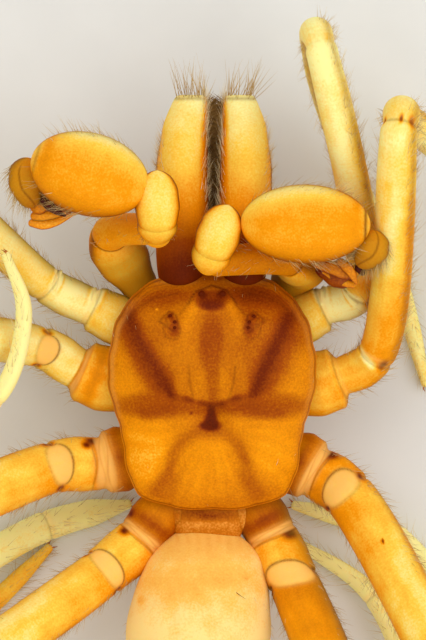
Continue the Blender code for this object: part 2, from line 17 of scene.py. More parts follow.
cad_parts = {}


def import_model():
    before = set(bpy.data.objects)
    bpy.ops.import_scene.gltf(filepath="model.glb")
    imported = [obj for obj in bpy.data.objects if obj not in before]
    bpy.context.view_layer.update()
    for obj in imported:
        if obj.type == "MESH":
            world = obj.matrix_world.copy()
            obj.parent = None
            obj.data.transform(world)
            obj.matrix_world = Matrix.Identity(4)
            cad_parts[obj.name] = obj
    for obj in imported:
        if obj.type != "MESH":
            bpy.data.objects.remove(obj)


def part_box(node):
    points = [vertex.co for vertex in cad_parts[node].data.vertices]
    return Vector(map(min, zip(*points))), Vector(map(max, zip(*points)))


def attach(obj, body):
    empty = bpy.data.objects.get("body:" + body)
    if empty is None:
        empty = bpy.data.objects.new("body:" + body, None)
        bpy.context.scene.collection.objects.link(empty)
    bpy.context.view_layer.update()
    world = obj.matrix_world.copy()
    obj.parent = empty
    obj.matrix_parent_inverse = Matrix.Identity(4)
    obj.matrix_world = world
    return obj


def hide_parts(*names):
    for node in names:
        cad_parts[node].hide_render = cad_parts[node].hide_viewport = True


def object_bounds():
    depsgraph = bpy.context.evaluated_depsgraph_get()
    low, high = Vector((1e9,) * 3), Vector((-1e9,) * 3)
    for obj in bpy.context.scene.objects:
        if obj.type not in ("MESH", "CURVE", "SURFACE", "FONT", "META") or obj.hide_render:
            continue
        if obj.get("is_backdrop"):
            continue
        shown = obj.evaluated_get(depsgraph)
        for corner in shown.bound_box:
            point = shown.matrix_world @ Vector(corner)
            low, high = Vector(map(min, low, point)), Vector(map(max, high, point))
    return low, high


log = logging.getLogger("spider")

MM = 0.001
BODY = "root"
FLOOR_LEVEL = 0.0

Rows = tuple[tuple[float, ...], ...]
Colour = tuple[float, float, float]
Stops = tuple[tuple[float, Colour], ...]


class Mark(IntEnum):
    """The channels of the marks attribute: a place on the finish's ramp and three tints."""

    TONE = 0
    FLESH = 1
    SEAM = 2
    OLIVE = 3


# Numbers and curves


def interpolate(rows: Rows, place: np.ndarray | float, column: int = 1) -> np.ndarray:
    """Read a smooth value from rows of (place, value, ...).

    Args:
        rows: the stations, in rising order of place.
        place: where to read.
        column: which value of a row to read.

    Returns:
        The values, half linear and half eased between the rows.
    """
    table = np.array(rows, dtype=float)
    knots, values = table[:, 0], table[:, column]
    place = np.clip(place, knots[0], knots[-1])
    low = np.clip(np.searchsorted(knots, place, side="right") - 1, 0, len(knots) - 2)
    share = (place - knots[low]) / (knots[low + 1] - knots[low])
    mixed = 0.5 * share + 0.5 * share * share * (3.0 - 2.0 * share)
    return values[low] + (values[low + 1] - values[low]) * mixed


def unit(vectors: np.ndarray) -> np.ndarray:
    """Vectors brought to length one."""
    return vectors / np.maximum(np.linalg.norm(vectors, axis=-1, keepdims=True), 1e-9)


def bell(place: np.ndarray, middle: float | np.ndarray, width: float) -> np.ndarray:
    """A soft hump of height one."""
    return np.exp(-(((place - middle) / width) ** 2))


def slope(place: np.ndarray, start: float, width: float) -> np.ndarray:
    """A straight rise from 0 at the start to 1 a width further on."""
    return np.clip((place - start) / width, 0.0, 1.0)


@dataclass(frozen=True)
class Spot:
    """An oval patch on a surface; a ring above zero keeps only its outline."""

    x: float
    y: float
    wide: float
    long: float
    turn: float = 0.0
    edge: float = 1.0
    ring: float = 0.0

    def cover(self, x: np.ndarray, y: np.ndarray) -> np.ndarray:
        """Share of the patch at each place, from 0 to 1."""
        cosine, sine = math.cos(self.turn), math.sin(self.turn)
        across = ((x - self.x) * cosine + (y - self.y) * sine) / self.wide
        along = ((y - self.y) * cosine - (x - self.x) * sine) / self.long
        reach = np.minimum(np.hypot(across, along), 20.0)
        if self.ring > 0.0:
            return bell(reach, 1.0, self.ring)
        return np.exp(-np.minimum(reach ** (2.0 * self.edge), 60.0))


@dataclass(frozen=True)
class Stroke:
    """A soft line through points."""

    points: Rows
    width: float

    def cover(self, x: np.ndarray, y: np.ndarray) -> np.ndarray:
        """Share of the line at each place, from 0 to 1."""
        nearest = np.full(np.shape(x), 1e9)
        for (x0, y0), (x1, y1) in zip(self.points, self.points[1:]):
            dx, dy = x1 - x0, y1 - y0
            share = np.clip(((x - x0) * dx + (y - y0) * dy) / (dx * dx + dy * dy), 0.0, 1.0)
            nearest = np.minimum(nearest, np.hypot(x - x0 - share * dx, y - y0 - share * dy))
        return np.exp(-((nearest / self.width) ** 2))


Shape = Spot | Stroke

# A half width in angle that takes a spot all round a tube
ALL_ROUND = 9.0


@dataclass(frozen=True)
class Paint:
    """A shape that brings a mark towards a level, by a share."""

    mark: Mark
    level: float
    share: float
    shape: Shape


def mirrored(shape: Shape) -> tuple[Shape, Shape]:
    """A shape and its mirror image across the animal's midline."""
    if isinstance(shape, Stroke):
        return shape, Stroke(tuple((-x, y) for x, y in shape.points), shape.width)
    twin = Spot(-shape.x, shape.y, shape.wide, shape.long, -shape.turn, shape.edge, shape.ring)
    return shape, twin


def both_sides(mark: Mark, level: float, share: float, shape: Shape) -> tuple[Paint, ...]:
    """One paint on each side of the midline."""
    return tuple(Paint(mark, level, share, twin) for twin in mirrored(shape))


def plain_marks(count: int, tone: np.ndarray | float) -> np.ndarray:
    """Marks of one tone with no tint."""
    marks = np.zeros((count, 4))
    marks[:, Mark.TONE] = tone
    return marks


def lay_on(marks: np.ndarray, mark: Mark, level: np.ndarray | float, share: np.ndarray) -> None:
    """Bring a channel of the marks towards a level, by a share at each place."""
    channel = marks[:, mark]
    marks[:, mark] = channel + (level - channel) * np.clip(share, 0.0, 1.0)


# Modelling by operators


def clear_selection() -> None:
    """Leave edit mode and deselect everything."""
    if bpy.context.object and bpy.context.object.mode != "OBJECT":
        bpy.ops.object.mode_set(mode="OBJECT")
    bpy.ops.object.select_all(action="DESELECT")


def pick(*pieces: bpy.types.Object) -> None:
    """Select pieces, the first of them active."""
    clear_selection()
    for piece in pieces:
        piece.select_set(True)
    bpy.context.view_layer.objects.active = pieces[0]


def placed(name: str, data: bpy.types.ID) -> bpy.types.Object:
    """A new object in the scene."""
    piece = bpy.data.objects.new(name, data)
    bpy.context.scene.collection.objects.link(piece)
    return piece


def face_outwards() -> None:
    """Turn the active object's faces outwards."""
    bpy.ops.object.mode_set(mode="EDIT")
    bpy.ops.mesh.select_all(action="SELECT")
    bpy.ops.mesh.normals_make_consistent(inside=False)
    bpy.ops.object.mode_set(mode="OBJECT")


def lay_attributes(mesh: bpy.types.Mesh, rest: np.ndarray, marks: np.ndarray) -> None:
    """Store straightened places and marks at a mesh's points."""
    layers = (("rest", "FLOAT_VECTOR", "vector", rest), ("marks", "FLOAT_COLOR", "color", marks))
    for name, kind, key, values in layers:
        layer = mesh.attributes.new(name, kind, "POINT")
        layer.data.foreach_set(key, flat_floats(values))


def flat_floats(values: np.ndarray) -> np.ndarray:
    """An array as one row of single floats."""
    return values.astype(np.float32).ravel()


def take_mesh(name: str) -> bpy.types.Mesh:
    """Keep the active object's mesh and remove the object."""
    piece = bpy.context.object
    mesh = piece.data
    mesh.name = name
    bpy.data.objects.remove(piece)
    return mesh


def extruded_rod(sides: int, rings: int) -> bpy.types.Mesh:
    """A closed rod of radius 1, extruded ring by ring, with ring numbers as heights."""
    clear_selection()
    bpy.ops.mesh.primitive_circle_add(vertices=sides, radius=1.0, fill_type="TRIFAN")
    bpy.ops.object.mode_set(mode="EDIT")
    for _ in range(rings):
        bpy.ops.mesh.extrude_region_move(TRANSFORM_OT_translate={"value": (0.0, 0.0, 1.0)})
    face_outwards()
    return take_mesh(f"rod_{sides}_{rings}")


def ball(sides: int, rings: int) -> bpy.types.Mesh:
    """A unit ball of sides by rings, to be shaped."""
    clear_selection()
    bpy.ops.mesh.primitive_uv_sphere_add(segments=sides, ring_count=rings, radius=1.0)
    return take_mesh(f"ball_{sides}_{rings}")


def points_of(mesh: bpy.types.Mesh) -> np.ndarray:
    """The mesh's vertices as an array."""
    flat = np.empty(len(mesh.vertices) * 3, dtype=np.float32)
    mesh.vertices.foreach_get("co", flat)
    return flat.reshape(-1, 3).astype(float)


@dataclass
class Skin:
    """A mesh being shaped: its points in millimetres, straightened places and marks."""

    mesh: bpy.types.Mesh
    points: np.ndarray
    rest: np.ndarray
    marks: np.ndarray

    def piece(self, name: str) -> bpy.types.Object:
        """An object with these points and attributes, its faces pointing outwards."""
        mesh = self.mesh.copy()
        mesh.name = name
        mesh.vertices.foreach_set("co", flat_floats(self.points))
        lay_attributes(mesh, self.rest, self.marks)
        piece = placed(name, mesh)
        pick(piece)
        face_outwards()
        return piece


def joined(name: str, pieces: list[bpy.types.Object]) -> bpy.types.Object:
    """Join pieces into the first and name it."""
    pick(*pieces)
    if len(pieces) > 1:
        bpy.ops.object.join()
    pieces[0].name = name
    pieces[0].data.name = name
    return pieces[0]


@dataclass
class Animal:
    """The place of the animal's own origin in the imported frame, and a count of triangles."""

    offset: Vector = field(init=False)
    triangles: int = 0

    MEDIAN_EYE_Y = 1.91

    def __post_init__(self) -> None:
        """Find the animal's origin from its median eyes, with the floor at height zero."""
        boxes = [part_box(f"eye_median_{side}") for side in ("left", "right")]
        middle = [sum(box[end][axis] for box in boxes for end in (0, 1)) / 4.0 for axis in (0, 1)]
        self.offset = Vector((middle[0], middle[1] - self.MEDIAN_EYE_Y * MM, 0.0))

    def settle(
        self,
        piece: bpy.types.Object,
        finish: "Finish",
        slot: str,
        nodes: tuple[str, ...] = (),
        sharp: float = 80.0,
    ) -> bpy.types.Object:
        """Args:
            piece: the object, modelled in millimetres.
            finish: what it is made of.
            slot: the record's material slot it stands for; not used.
            nodes: the solids it replaces.
            sharp: the angle in degrees past which an edge stays sharp.

        Returns:
            The same object, in metres.
        """
        piece.data.transform(Matrix.Translation(self.offset) @ Matrix.Scale(MM, 4))
        pick(piece)
        bpy.ops.object.shade_smooth_by_angle(angle=math.radians(sharp))
        piece.data.materials.clear()
        piece.data.materials.append(finish.material())
        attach(piece, BODY)
        if nodes:
            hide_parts(*nodes)
        count = sum(len(face.vertices) - 2 for face in piece.data.polygons)
        self.triangles += count
        log.info("%s: %d triangles, replaces %s", piece.name, count, ", ".join(nodes) or "nothing")
        return piece


# Shader maths and finishes


class Value:
    """One socket of a shader, with arithmetic that adds Math nodes."""

    def __init__(self, graph: "Graph", socket: bpy.types.NodeSocket) -> None:
        """Wrap a socket of a graph."""
        self.graph = graph
        self.socket = socket

    def __add__(self, other: "Value | float") -> "Value":
        """This plus another."""
        return self.graph.maths("ADD", self, other)

    def __sub__(self, other: "Value | float") -> "Value":
        """This less another."""
        return self.graph.maths("SUBTRACT", self, other)

    def __rsub__(self, other: float) -> "Value":
        """A number less this."""
        return self.graph.maths("SUBTRACT", other, self)

    def __mul__(self, other: "Value | float") -> "Value":
        """This times another."""
        return self.graph.maths("MULTIPLY", self, other)

    __radd__ = __add__
    __rmul__ = __mul__

    def clamped(self) -> "Value":
        """This, kept between 0 and 1."""
        return self.graph.node("ShaderNodeClamp", inputs={0: self})


class Graph:
    """The node tree of one material."""

    def __init__(self, name: str) -> None:
        """Start an empty material."""
        self.material = bpy.data.materials.new(name)
        self.material.use_nodes = True
        self.tree = self.material.node_tree
        self.tree.nodes.clear()

    def node(
        self, kind: str, settings: dict | None = None, inputs: dict | None = None, out: int | str = 0
    ) -> Value:
        """Add a node.

        Args:
            kind: the node's type.
            settings: its own properties, set first.
            inputs: values or links for its sockets, by name or number.
            out: which output to hand over.

        Returns:
            The chosen output.
        """
        added = self.tree.nodes.new(kind)
        for name, setting in (settings or {}).items():
            if name == "stops":
                self.lay_stops(added.color_ramp, setting)
            else:
                setattr(added, name, setting)
        for key, value in (inputs or {}).items():
            if isinstance(value, Value):
                self.tree.links.new(value.socket, added.inputs[key])
            else:
                added.inputs[key].default_value = value
        outputs = added.outputs
        return Value(self, outputs[out]) if len(outputs) else Value(self, added.inputs[0])

    @staticmethod
    def lay_stops(ramp: bpy.types.ColorRamp, stops: Stops) -> None:
        """Set a ramp's colours, from its first stop on."""
        while len(ramp.elements) > 1:
            ramp.elements.remove(ramp.elements[-1])
        ramp.elements[0].position, ramp.elements[0].color = stops[0][0], (*stops[0][1], 1.0)
        for place, colour in stops[1:]:
            ramp.elements.new(place).color = (*colour, 1.0)

    def maths(self, operation: str, first: Value | float, second: Value | float) -> Value:
        """One Math node."""
        return self.node("ShaderNodeMath", {"operation": operation}, {0: first, 1: second})

    def scaled(self, vector: Value, factors: Colour) -> Value:
        """A vector with each part multiplied."""
        return self.node("ShaderNodeVectorMath", {"operation": "MULTIPLY"}, {0: vector, 1: factors})

    def noise(self, vector: Value, scale: float, detail: float = 3.0) -> Value:
        """Fractal noise from 0 to 1."""
        return self.node("ShaderNodeTexNoise", inputs={"Vector": vector, "Scale": scale, "Detail": detail})

    def mixed(self, share: Value, low: Value | Colour, high: Value | Colour) -> Value:
        """Two colours mixed by a share."""
        ends = [end if isinstance(end, Value) else (*end, 1.0) for end in (low, high)]
        return self.node("ShaderNodeMix", {"data_type": "RGBA"}, {0: share, 6: ends[0], 7: ends[1]}, out=2)

    def dressed(self, varying: dict, constants: dict) -> bpy.types.Material:
        """Close the graph with a Principled surface.

        Args:
            varying: sockets that are fed by the graph.
            constants: sockets that stay at one value.

        Returns:
            The finished material.
        """
        surface = self.node("ShaderNodeBsdfPrincipled", inputs={**constants, **varying})
        self.node("ShaderNodeOutputMaterial", inputs={"Surface": surface})
        return self.material


# Amber cuticle from the darkest red-brown to the palest yellow
AMBER: Stops = (
    (0.00, (0.060, 0.006, 0.001)),
    (0.20, (0.165, 0.019, 0.001)),
    (0.38, (0.345, 0.064, 0.001)),
    (0.55, (0.600, 0.178, 0.001)),
    (0.72, (0.890, 0.315, 0.002)),
    (0.86, (0.965, 0.600, 0.066)),
    (1.00, (0.970, 0.870, 0.340)),
)

# Soft skin of the abdomen from the brown plate to the palest cream
CREAM: Stops = (
    (0.00, (0.200, 0.026, 0.001)),
    (0.35, (0.560, 0.160, 0.004)),
    (0.60, (0.900, 0.400, 0.060)),
    (0.80, (0.965, 0.530, 0.100)),
    (1.00, (0.970, 0.700, 0.250)),
)

# Hair from dark roots to pale tips
STRAW: Stops = (
    (0.00, (0.120, 0.045, 0.008)),
    (0.50, (0.480, 0.300, 0.090)),
    (1.00, (0.860, 0.740, 0.460)),
)


@dataclass(frozen=True)
class Finish:
    """A cuticle whose ramp is read by the tone on its mesh, with three tints over it."""

    name: str
    ramp: Stops = AMBER
    flesh: Colour = (0.970, 0.540, 0.130)
    olive: Colour = (0.30, 0.23, 0.016)
    seam: Colour = (0.120, 0.018, 0.001)
    roughness: float = 0.50
    streaks: float = 0.16
    clouds: float = 0.10
    grain: float = 0.09
    glow: float = 0.20
    relief: float = 1.0
    gloss: float = 0.04

    GLOW_RADIUS = (1.0, 0.42, 0.10)
    GLOW_DEPTH = 0.06 * MM
    BUMP_DEPTH = 0.012 * MM
    STREAK_SCALE = (2.6, 0.32, 2.6)
    CLOUD_SCALE = 2.2
    GRAIN_SCALE = 26.0
    ROUGHNESS_SWING = 0.2

    def material(self) -> bpy.types.Material:
        """The material, made once."""
        ready = bpy.data.materials.get(self.name)
        return ready or self.make()

    def make(self) -> bpy.types.Material:
        """Build the graph from the mesh's straightened places and marks."""
        graph = Graph(self.name)
        rest = graph.node("ShaderNodeAttribute", {"attribute_name": "rest"}, out="Vector")
        marks = graph.node("ShaderNodeAttribute", {"attribute_name": "marks"}, out="Color")
        olive = graph.node("ShaderNodeAttribute", {"attribute_name": "marks"}, out="Alpha")
        split = [graph.node("ShaderNodeSeparateColor", inputs={0: marks}, out=channel) for channel in range(3)]
        tone, flesh, seam = split
        streak = graph.noise(graph.scaled(rest, self.STREAK_SCALE), 1.0, 4.0)
        cloud = graph.noise(rest, self.CLOUD_SCALE)
        grain = graph.noise(rest, self.GRAIN_SCALE)
        swing = (streak - 0.5) * (2.0 * self.streaks) + (cloud - 0.5) * (2.0 * self.clouds)
        swing = swing + (grain - 0.5) * (2.0 * self.grain)
        place = (tone + swing).clamped()
        colour = graph.node("ShaderNodeValToRGB", {"stops": self.ramp}, {0: place})
        colour = graph.mixed((olive * (0.6 + 0.8 * grain)).clamped(), colour, self.olive)
        colour = graph.mixed((flesh * (1.2 - 0.4 * cloud)).clamped(), colour, self.flesh)
        colour = graph.mixed((seam * (1.3 - 0.6 * grain)).clamped(), colour, self.seam)
        height = streak * 0.5 + grain * (0.3 + self.grain) - seam * 0.6
        normal = graph.node(
            "ShaderNodeBump",
            inputs={"Strength": 0.5 * self.relief, "Distance": self.BUMP_DEPTH, "Height": height},
        )
        rough = self.roughness + (grain - 0.5) * self.ROUGHNESS_SWING
        constants = {
            "Subsurface Weight": self.glow,
            "Subsurface Radius": self.GLOW_RADIUS,
            "Subsurface Scale": self.GLOW_DEPTH,
            "Specular IOR Level": self.gloss,
        }
        return graph.dressed({"Base Color": colour, "Roughness": rough, "Normal": normal}, constants)


CARAPACE = Finish("carapace_cuticle", streaks=0.03, clouds=0.06, grain=0.14)
JAW = Finish("chelicera_cuticle", streaks=0.06, clouds=0.06)
LIMB = Finish("limb_cuticle")
PALP = Finish("palp_cuticle", streaks=0.07, clouds=0.06)
BELLY = Finish("abdomen_skin", ramp=CREAM, roughness=0.55, streaks=0.06, clouds=0.24, grain=0.20)
FANG = Finish("fang_horn", roughness=0.25, glow=0.05, gloss=0.5)
BULB = Finish("bulb_horn", roughness=0.40, streaks=0.10, grain=0.18, gloss=0.15)
EYE = Finish("eye_lens", roughness=0.30, streaks=0.0, clouds=0.0, grain=0.0, glow=0.0, relief=0.0, gloss=0.02)
HAIR = Finish("setae", ramp=STRAW, clouds=0.20, glow=0.0, relief=0.0, gloss=0.10)


# Tubes on a centre line


class CentreLine:
    """A smooth line through a limb's joints, read by joint number or by distance."""

    STEPS = 48
    FRAME_WINDOW = 0.22

    def __init__(self, joints: Rows, lead: float, outward: float) -> None:
        """Lay the line and its frames.

        Args:
            joints: the joints' places.
            lead: how far the line starts before its first joint, inside the body.
            outward: 1 on the right side and -1 on the left, so that angles grow forwards.
        """
        points = np.array(joints, dtype=float)
        knots = np.vstack([2.0 * points[0] - points[1], points, 2.0 * points[-1] - points[-2]])
        last = len(points) - 1
        places = np.linspace(0.0, last, last * self.STEPS + 1)
        line = np.array([self.spline(knots, place) for place in places])
        start = line[0] - unit(line[1] - line[0]) * lead
        if lead > 0.0:
            line = np.vstack([start, line])
            places = np.concatenate([[-lead], places])
        steps = np.linalg.norm(np.diff(line, axis=0), axis=1)
        self.line = line
        self.places = places
        self.marks = np.concatenate([[0.0], np.cumsum(steps)])
        self.length = float(self.marks[-1])
        self.lay_frames(outward)

    @staticmethod
    def spline(knots: np.ndarray, place: float) -> np.ndarray:
        """The point at a fractional joint number, by a centripetal spline."""
        span = min(int(place), len(knots) - 4)
        a, b, c, d = knots[span : span + 4]
        times = [0.0]
        for start, end in ((a, b), (b, c), (c, d)):
            times.append(times[-1] + max(float(np.linalg.norm(end - start)), 1e-4) ** 0.5)
        now = times[1] + (times[2] - times[1]) * (place - span)

        def mix(p: np.ndarray, q: np.ndarray, low: float, high: float) -> np.ndarray:
            return p * ((high - now) / (high - low)) + q * ((now - low) / (high - low))

        ab = mix(a, b, times[0], times[1])
        bc = mix(b, c, times[1], times[2])
        cd = mix(c, d, times[2], times[3])
        return mix(mix(ab, bc, times[0], times[2]), mix(bc, cd, times[1], times[3]), times[1], times[2])

    def lay_frames(self, outward: float) -> None:
        """Carry the dorsal direction along the line without twist."""
        ahead = self.point(self.marks + self.FRAME_WINDOW)
        behind = self.point(self.marks - self.FRAME_WINDOW)
        self.heading = unit(ahead - behind)
        dorsal = np.empty_like(self.line)
        up = np.array([0.0, 0.0, 1.0])
        for index, heading in enumerate(self.heading):
            up = up - heading * float(up @ heading)
            up = up / np.linalg.norm(up)
            dorsal[index] = up
        self.dorsal = dorsal
        self.front = np.cross(dorsal, self.heading) * outward

    def read(self, table: np.ndarray, distance: np.ndarray) -> np.ndarray:
        """Read rows kept along the line at given distances."""
        return np.stack([np.interp(distance, self.marks, table[:, axis]) for axis in range(3)], axis=-1)

    def point(self, distance: np.ndarray) -> np.ndarray:
        """Points of the centre line."""
        return self.read(self.line, distance)

    def distance_of(self, place: float) -> float:
        """Distance along the line of a joint number."""
        return float(np.interp(place, self.places, self.marks))


@dataclass(frozen=True)
class Fold:
    """A joint's fold round a tube: its place, how far it swells and dips, and its colours.

    An open top is the half angle about the dorsal line that the fold leaves smooth.
    """

    place: float
    rise: float = 0.025
    dip: float = 0.085
    seam: float = 0.45
    flesh: float = 0.25
    open_top: float = 0.0

    SWELL_AT = -0.10
    SWELL_WIDTH = 0.075
    DIP_WIDTH = 0.045
    MEMBRANE = (0.04, 0.05)
    LINE = (-0.02, 0.018)

    def closed(self, angle: np.ndarray) -> np.ndarray:
        """Share of the fold that is there at an angle."""
        if self.open_top <= 0.0:
            return np.ones_like(angle)
        return 1.0 - np.exp(-((np.abs(angle) / self.open_top) ** 8))

    def swell(self, past: np.ndarray, angle: np.ndarray) -> np.ndarray:
        """Share of the radius that the fold adds."""
        rise = self.rise * bell(past, self.SWELL_AT, self.SWELL_WIDTH)
        return (rise - self.dip * bell(past, 0.0, self.DIP_WIDTH)) * self.closed(angle)

    def paint(self, marks: np.ndarray, past: np.ndarray, angle: np.ndarray) -> None:
        """The thin dark line and the pale membrane beside it."""
        closed = self.closed(angle)
        lay_on(marks, Mark.FLESH, 1.0, self.flesh * closed * bell(past, *self.MEMBRANE))
        lay_on(marks, Mark.SEAM, 1.0, self.seam * closed * bell(past, *self.LINE))


@dataclass
class Tube:
    """A jointed tube: radii along a centre line, with folds, reliefs and marks.

    Angles run round the tube from its dorsal line, positive to the front.  Paints and
    reliefs come with a joint number and have shapes in (angle, distance past the joint).
    An oval tube swells from nothing to its radius and back like an ellipse.
    """

    name: str
    joints: Rows
    radii: Rows
    outward: float = 1.0
    lead: float = 0.0
    oval: bool = False
    flat: Rows = ((0.0, 1.0), (1.0, 1.0))
    folds: tuple[Fold, ...] = ()
    reliefs: tuple[tuple[float, float, Shape], ...] = ()
    tones: Rows = ((0.0, 0.75), (1.0, 0.75))
    # Painted light and shade: the front side of the tube is made lighter than the back by this tone, darker when
    # it is negative.
    lit_side_tone: float = 0.0
    # Painted shade: the flanks, seen edge-on from the camera above, are darkened by this tone. The outline below
    # lays a thin painted dark line right at the sides, and the flanks rows set how much of both is laid.
    flank_shade_tone: float = -0.14
    outline: float = 0.45
    flanks: Rows = ((0.0, 1.0), (1.0, 1.0))
    olive: Rows = ((0.0, 0.0), (1.0, 0.0))
    olive_back: float = 0.0
    paints: tuple[tuple[float, Paint], ...] = ()
    line: CentreLine = field(init=False)

    ROUNDING = 0.8
    FLANK_SHADE_POWER = 8
    SIDE_LINE_SHADE_POWER = 18
    FINE_STEPS = 2000
    JOINT_CROWD = (4.0, 0.32)
    END_CROWD = (5.0, 0.12)

    def __post_init__(self) -> None:
        """Lay the centre line."""
        self.line = CentreLine(self.joints, self.lead, self.outward)

    def radius(self, distance: np.ndarray, angle: np.ndarray) -> np.ndarray:
        """Radius of the tube with its rounded ends, folds and reliefs."""
        place = np.interp(distance, self.line.marks, self.line.places)
        size = interpolate(self.radii, place)
        if self.oval:
            share = 2.0 * distance / self.line.length - 1.0
            size = size * np.sqrt(np.maximum(1.0 - share**2, 0.0))
        for fold in self.folds:
            size = size * (1.0 + fold.swell(distance - self.line.distance_of(fold.place), angle))
        for joint, rise, shape in self.reliefs:
            size = size + rise * shape.cover(angle, distance - self.line.distance_of(joint))
        if not self.oval:
            for end in (distance, self.line.length - distance):
                short = np.clip(1.0 - end / np.maximum(self.ROUNDING * size, 1e-3), 0.0, 1.0)
                size = size * np.sqrt(np.maximum(1.0 - short**2, 0.0))
        return size

    def surface(self, distance: np.ndarray, angle: np.ndarray, share: np.ndarray | float = 1.0) -> tuple:
        """Points on the tube.

        Args:
            distance: along the centre line.
            angle: round the tube.
            share: of the radius; 0 is the centre line.

        Returns:
            The points and the outward directions.
        """
        size = self.radius(distance, angle) * share
        place = np.interp(distance, self.line.marks, self.line.places)
        up = self.line.read(self.line.dorsal, distance) * interpolate(self.flat, place)[:, None]
        side = self.line.read(self.line.front, distance)
        outward = side * np.sin(angle)[:, None] + up * np.cos(angle)[:, None]
        points = self.line.point(distance) + outward * size[:, None]
        points[:, 2] = np.maximum(points[:, 2], FLOOR_LEVEL)
        return points, unit(outward)

    def marks(self, distance: np.ndarray, angle: np.ndarray) -> np.ndarray:
        """The four mark channels at places on the tube."""
        place = np.interp(distance, self.line.marks, self.line.places)
        sine = np.sin(angle)
        flank = interpolate(self.flanks, place)
        # Painted light: one side of the tube lighter than the other.
        tone = interpolate(self.tones, place) + self.lit_side_tone * sine
        # Painted shade: the tone drops towards the flanks, and a thin dark seam line is painted at the sides.
        marks = plain_marks(len(distance), tone + self.flank_shade_tone * flank * np.abs(sine) ** self.FLANK_SHADE_POWER)
        marks[:, Mark.SEAM] = self.outline * flank * np.abs(sine) ** self.SIDE_LINE_SHADE_POWER
        green = np.clip(sine, 0.0, 1.0) ** 3 + self.olive_back * np.clip(-sine, 0.0, 1.0) ** 4
        marks[:, Mark.OLIVE] = interpolate(self.olive, place) * green
        for fold in self.folds:
            fold.paint(marks, distance - self.line.distance_of(fold.place), angle)
        for joint, paint in self.paints:
            cover = paint.shape.cover(angle, distance - self.line.distance_of(joint))
            lay_on(marks, paint.mark, paint.level, paint.share * cover)
        return marks

    def ring_distances(self, rings: int) -> np.ndarray:
        """Distances of the rings, closer at the joints and at both ends."""
        fine = np.linspace(0.0, self.line.length, self.FINE_STEPS)
        crowd = np.ones_like(fine)
        for share, width, middles in (
            (*self.JOINT_CROWD, [self.line.distance_of(fold.place) for fold in self.folds]),
            (*self.END_CROWD, [0.0, self.line.length]),
        ):
            for middle in middles:
                crowd += share * bell(fine, middle, width)
        total = np.concatenate([[0.0], np.cumsum((crowd[1:] + crowd[:-1]) / 2.0)])
        return np.interp(np.linspace(0.0, total[-1], rings + 1), total, fine)

    def skin(self, rod: bpy.types.Mesh) -> Skin:
        """Wrap an extruded rod on the centre line."""
        base = points_of(rod)
        ring = np.rint(base[:, 2]).astype(int)
        distance = self.ring_distances(int(ring.max()))[ring]
        angle = np.arctan2(base[:, 0], base[:, 1])
        share = np.where(np.hypot(base[:, 0], base[:, 1]) > 0.5, 1.0, 0.0)
        points, _ = self.surface(distance, angle, share)
        size = self.radius(distance, angle) * share
        rest = np.stack([size * np.sin(angle), distance, size * np.cos(angle)], axis=-1)
        return Skin(rod, points, rest, self.marks(distance, angle))

    def piece(self, rod: bpy.types.Mesh) -> bpy.types.Object:
        """The tube as an object in millimetres."""
        return self.skin(rod).piece(self.name)


# Hair

SKIN_SHARE = 0.30
ROOT_TONES = (0.10, 0.45)
ROOT_SCATTER = 0.012
BAKE_MARGIN = 0.01


@dataclass
class Roots:
    """Where hairs grow: places, outward directions, the lie, tones and bake places."""

    points: np.ndarray
    normals: np.ndarray
    lies: np.ndarray
    tones: np.ndarray
    places: np.ndarray


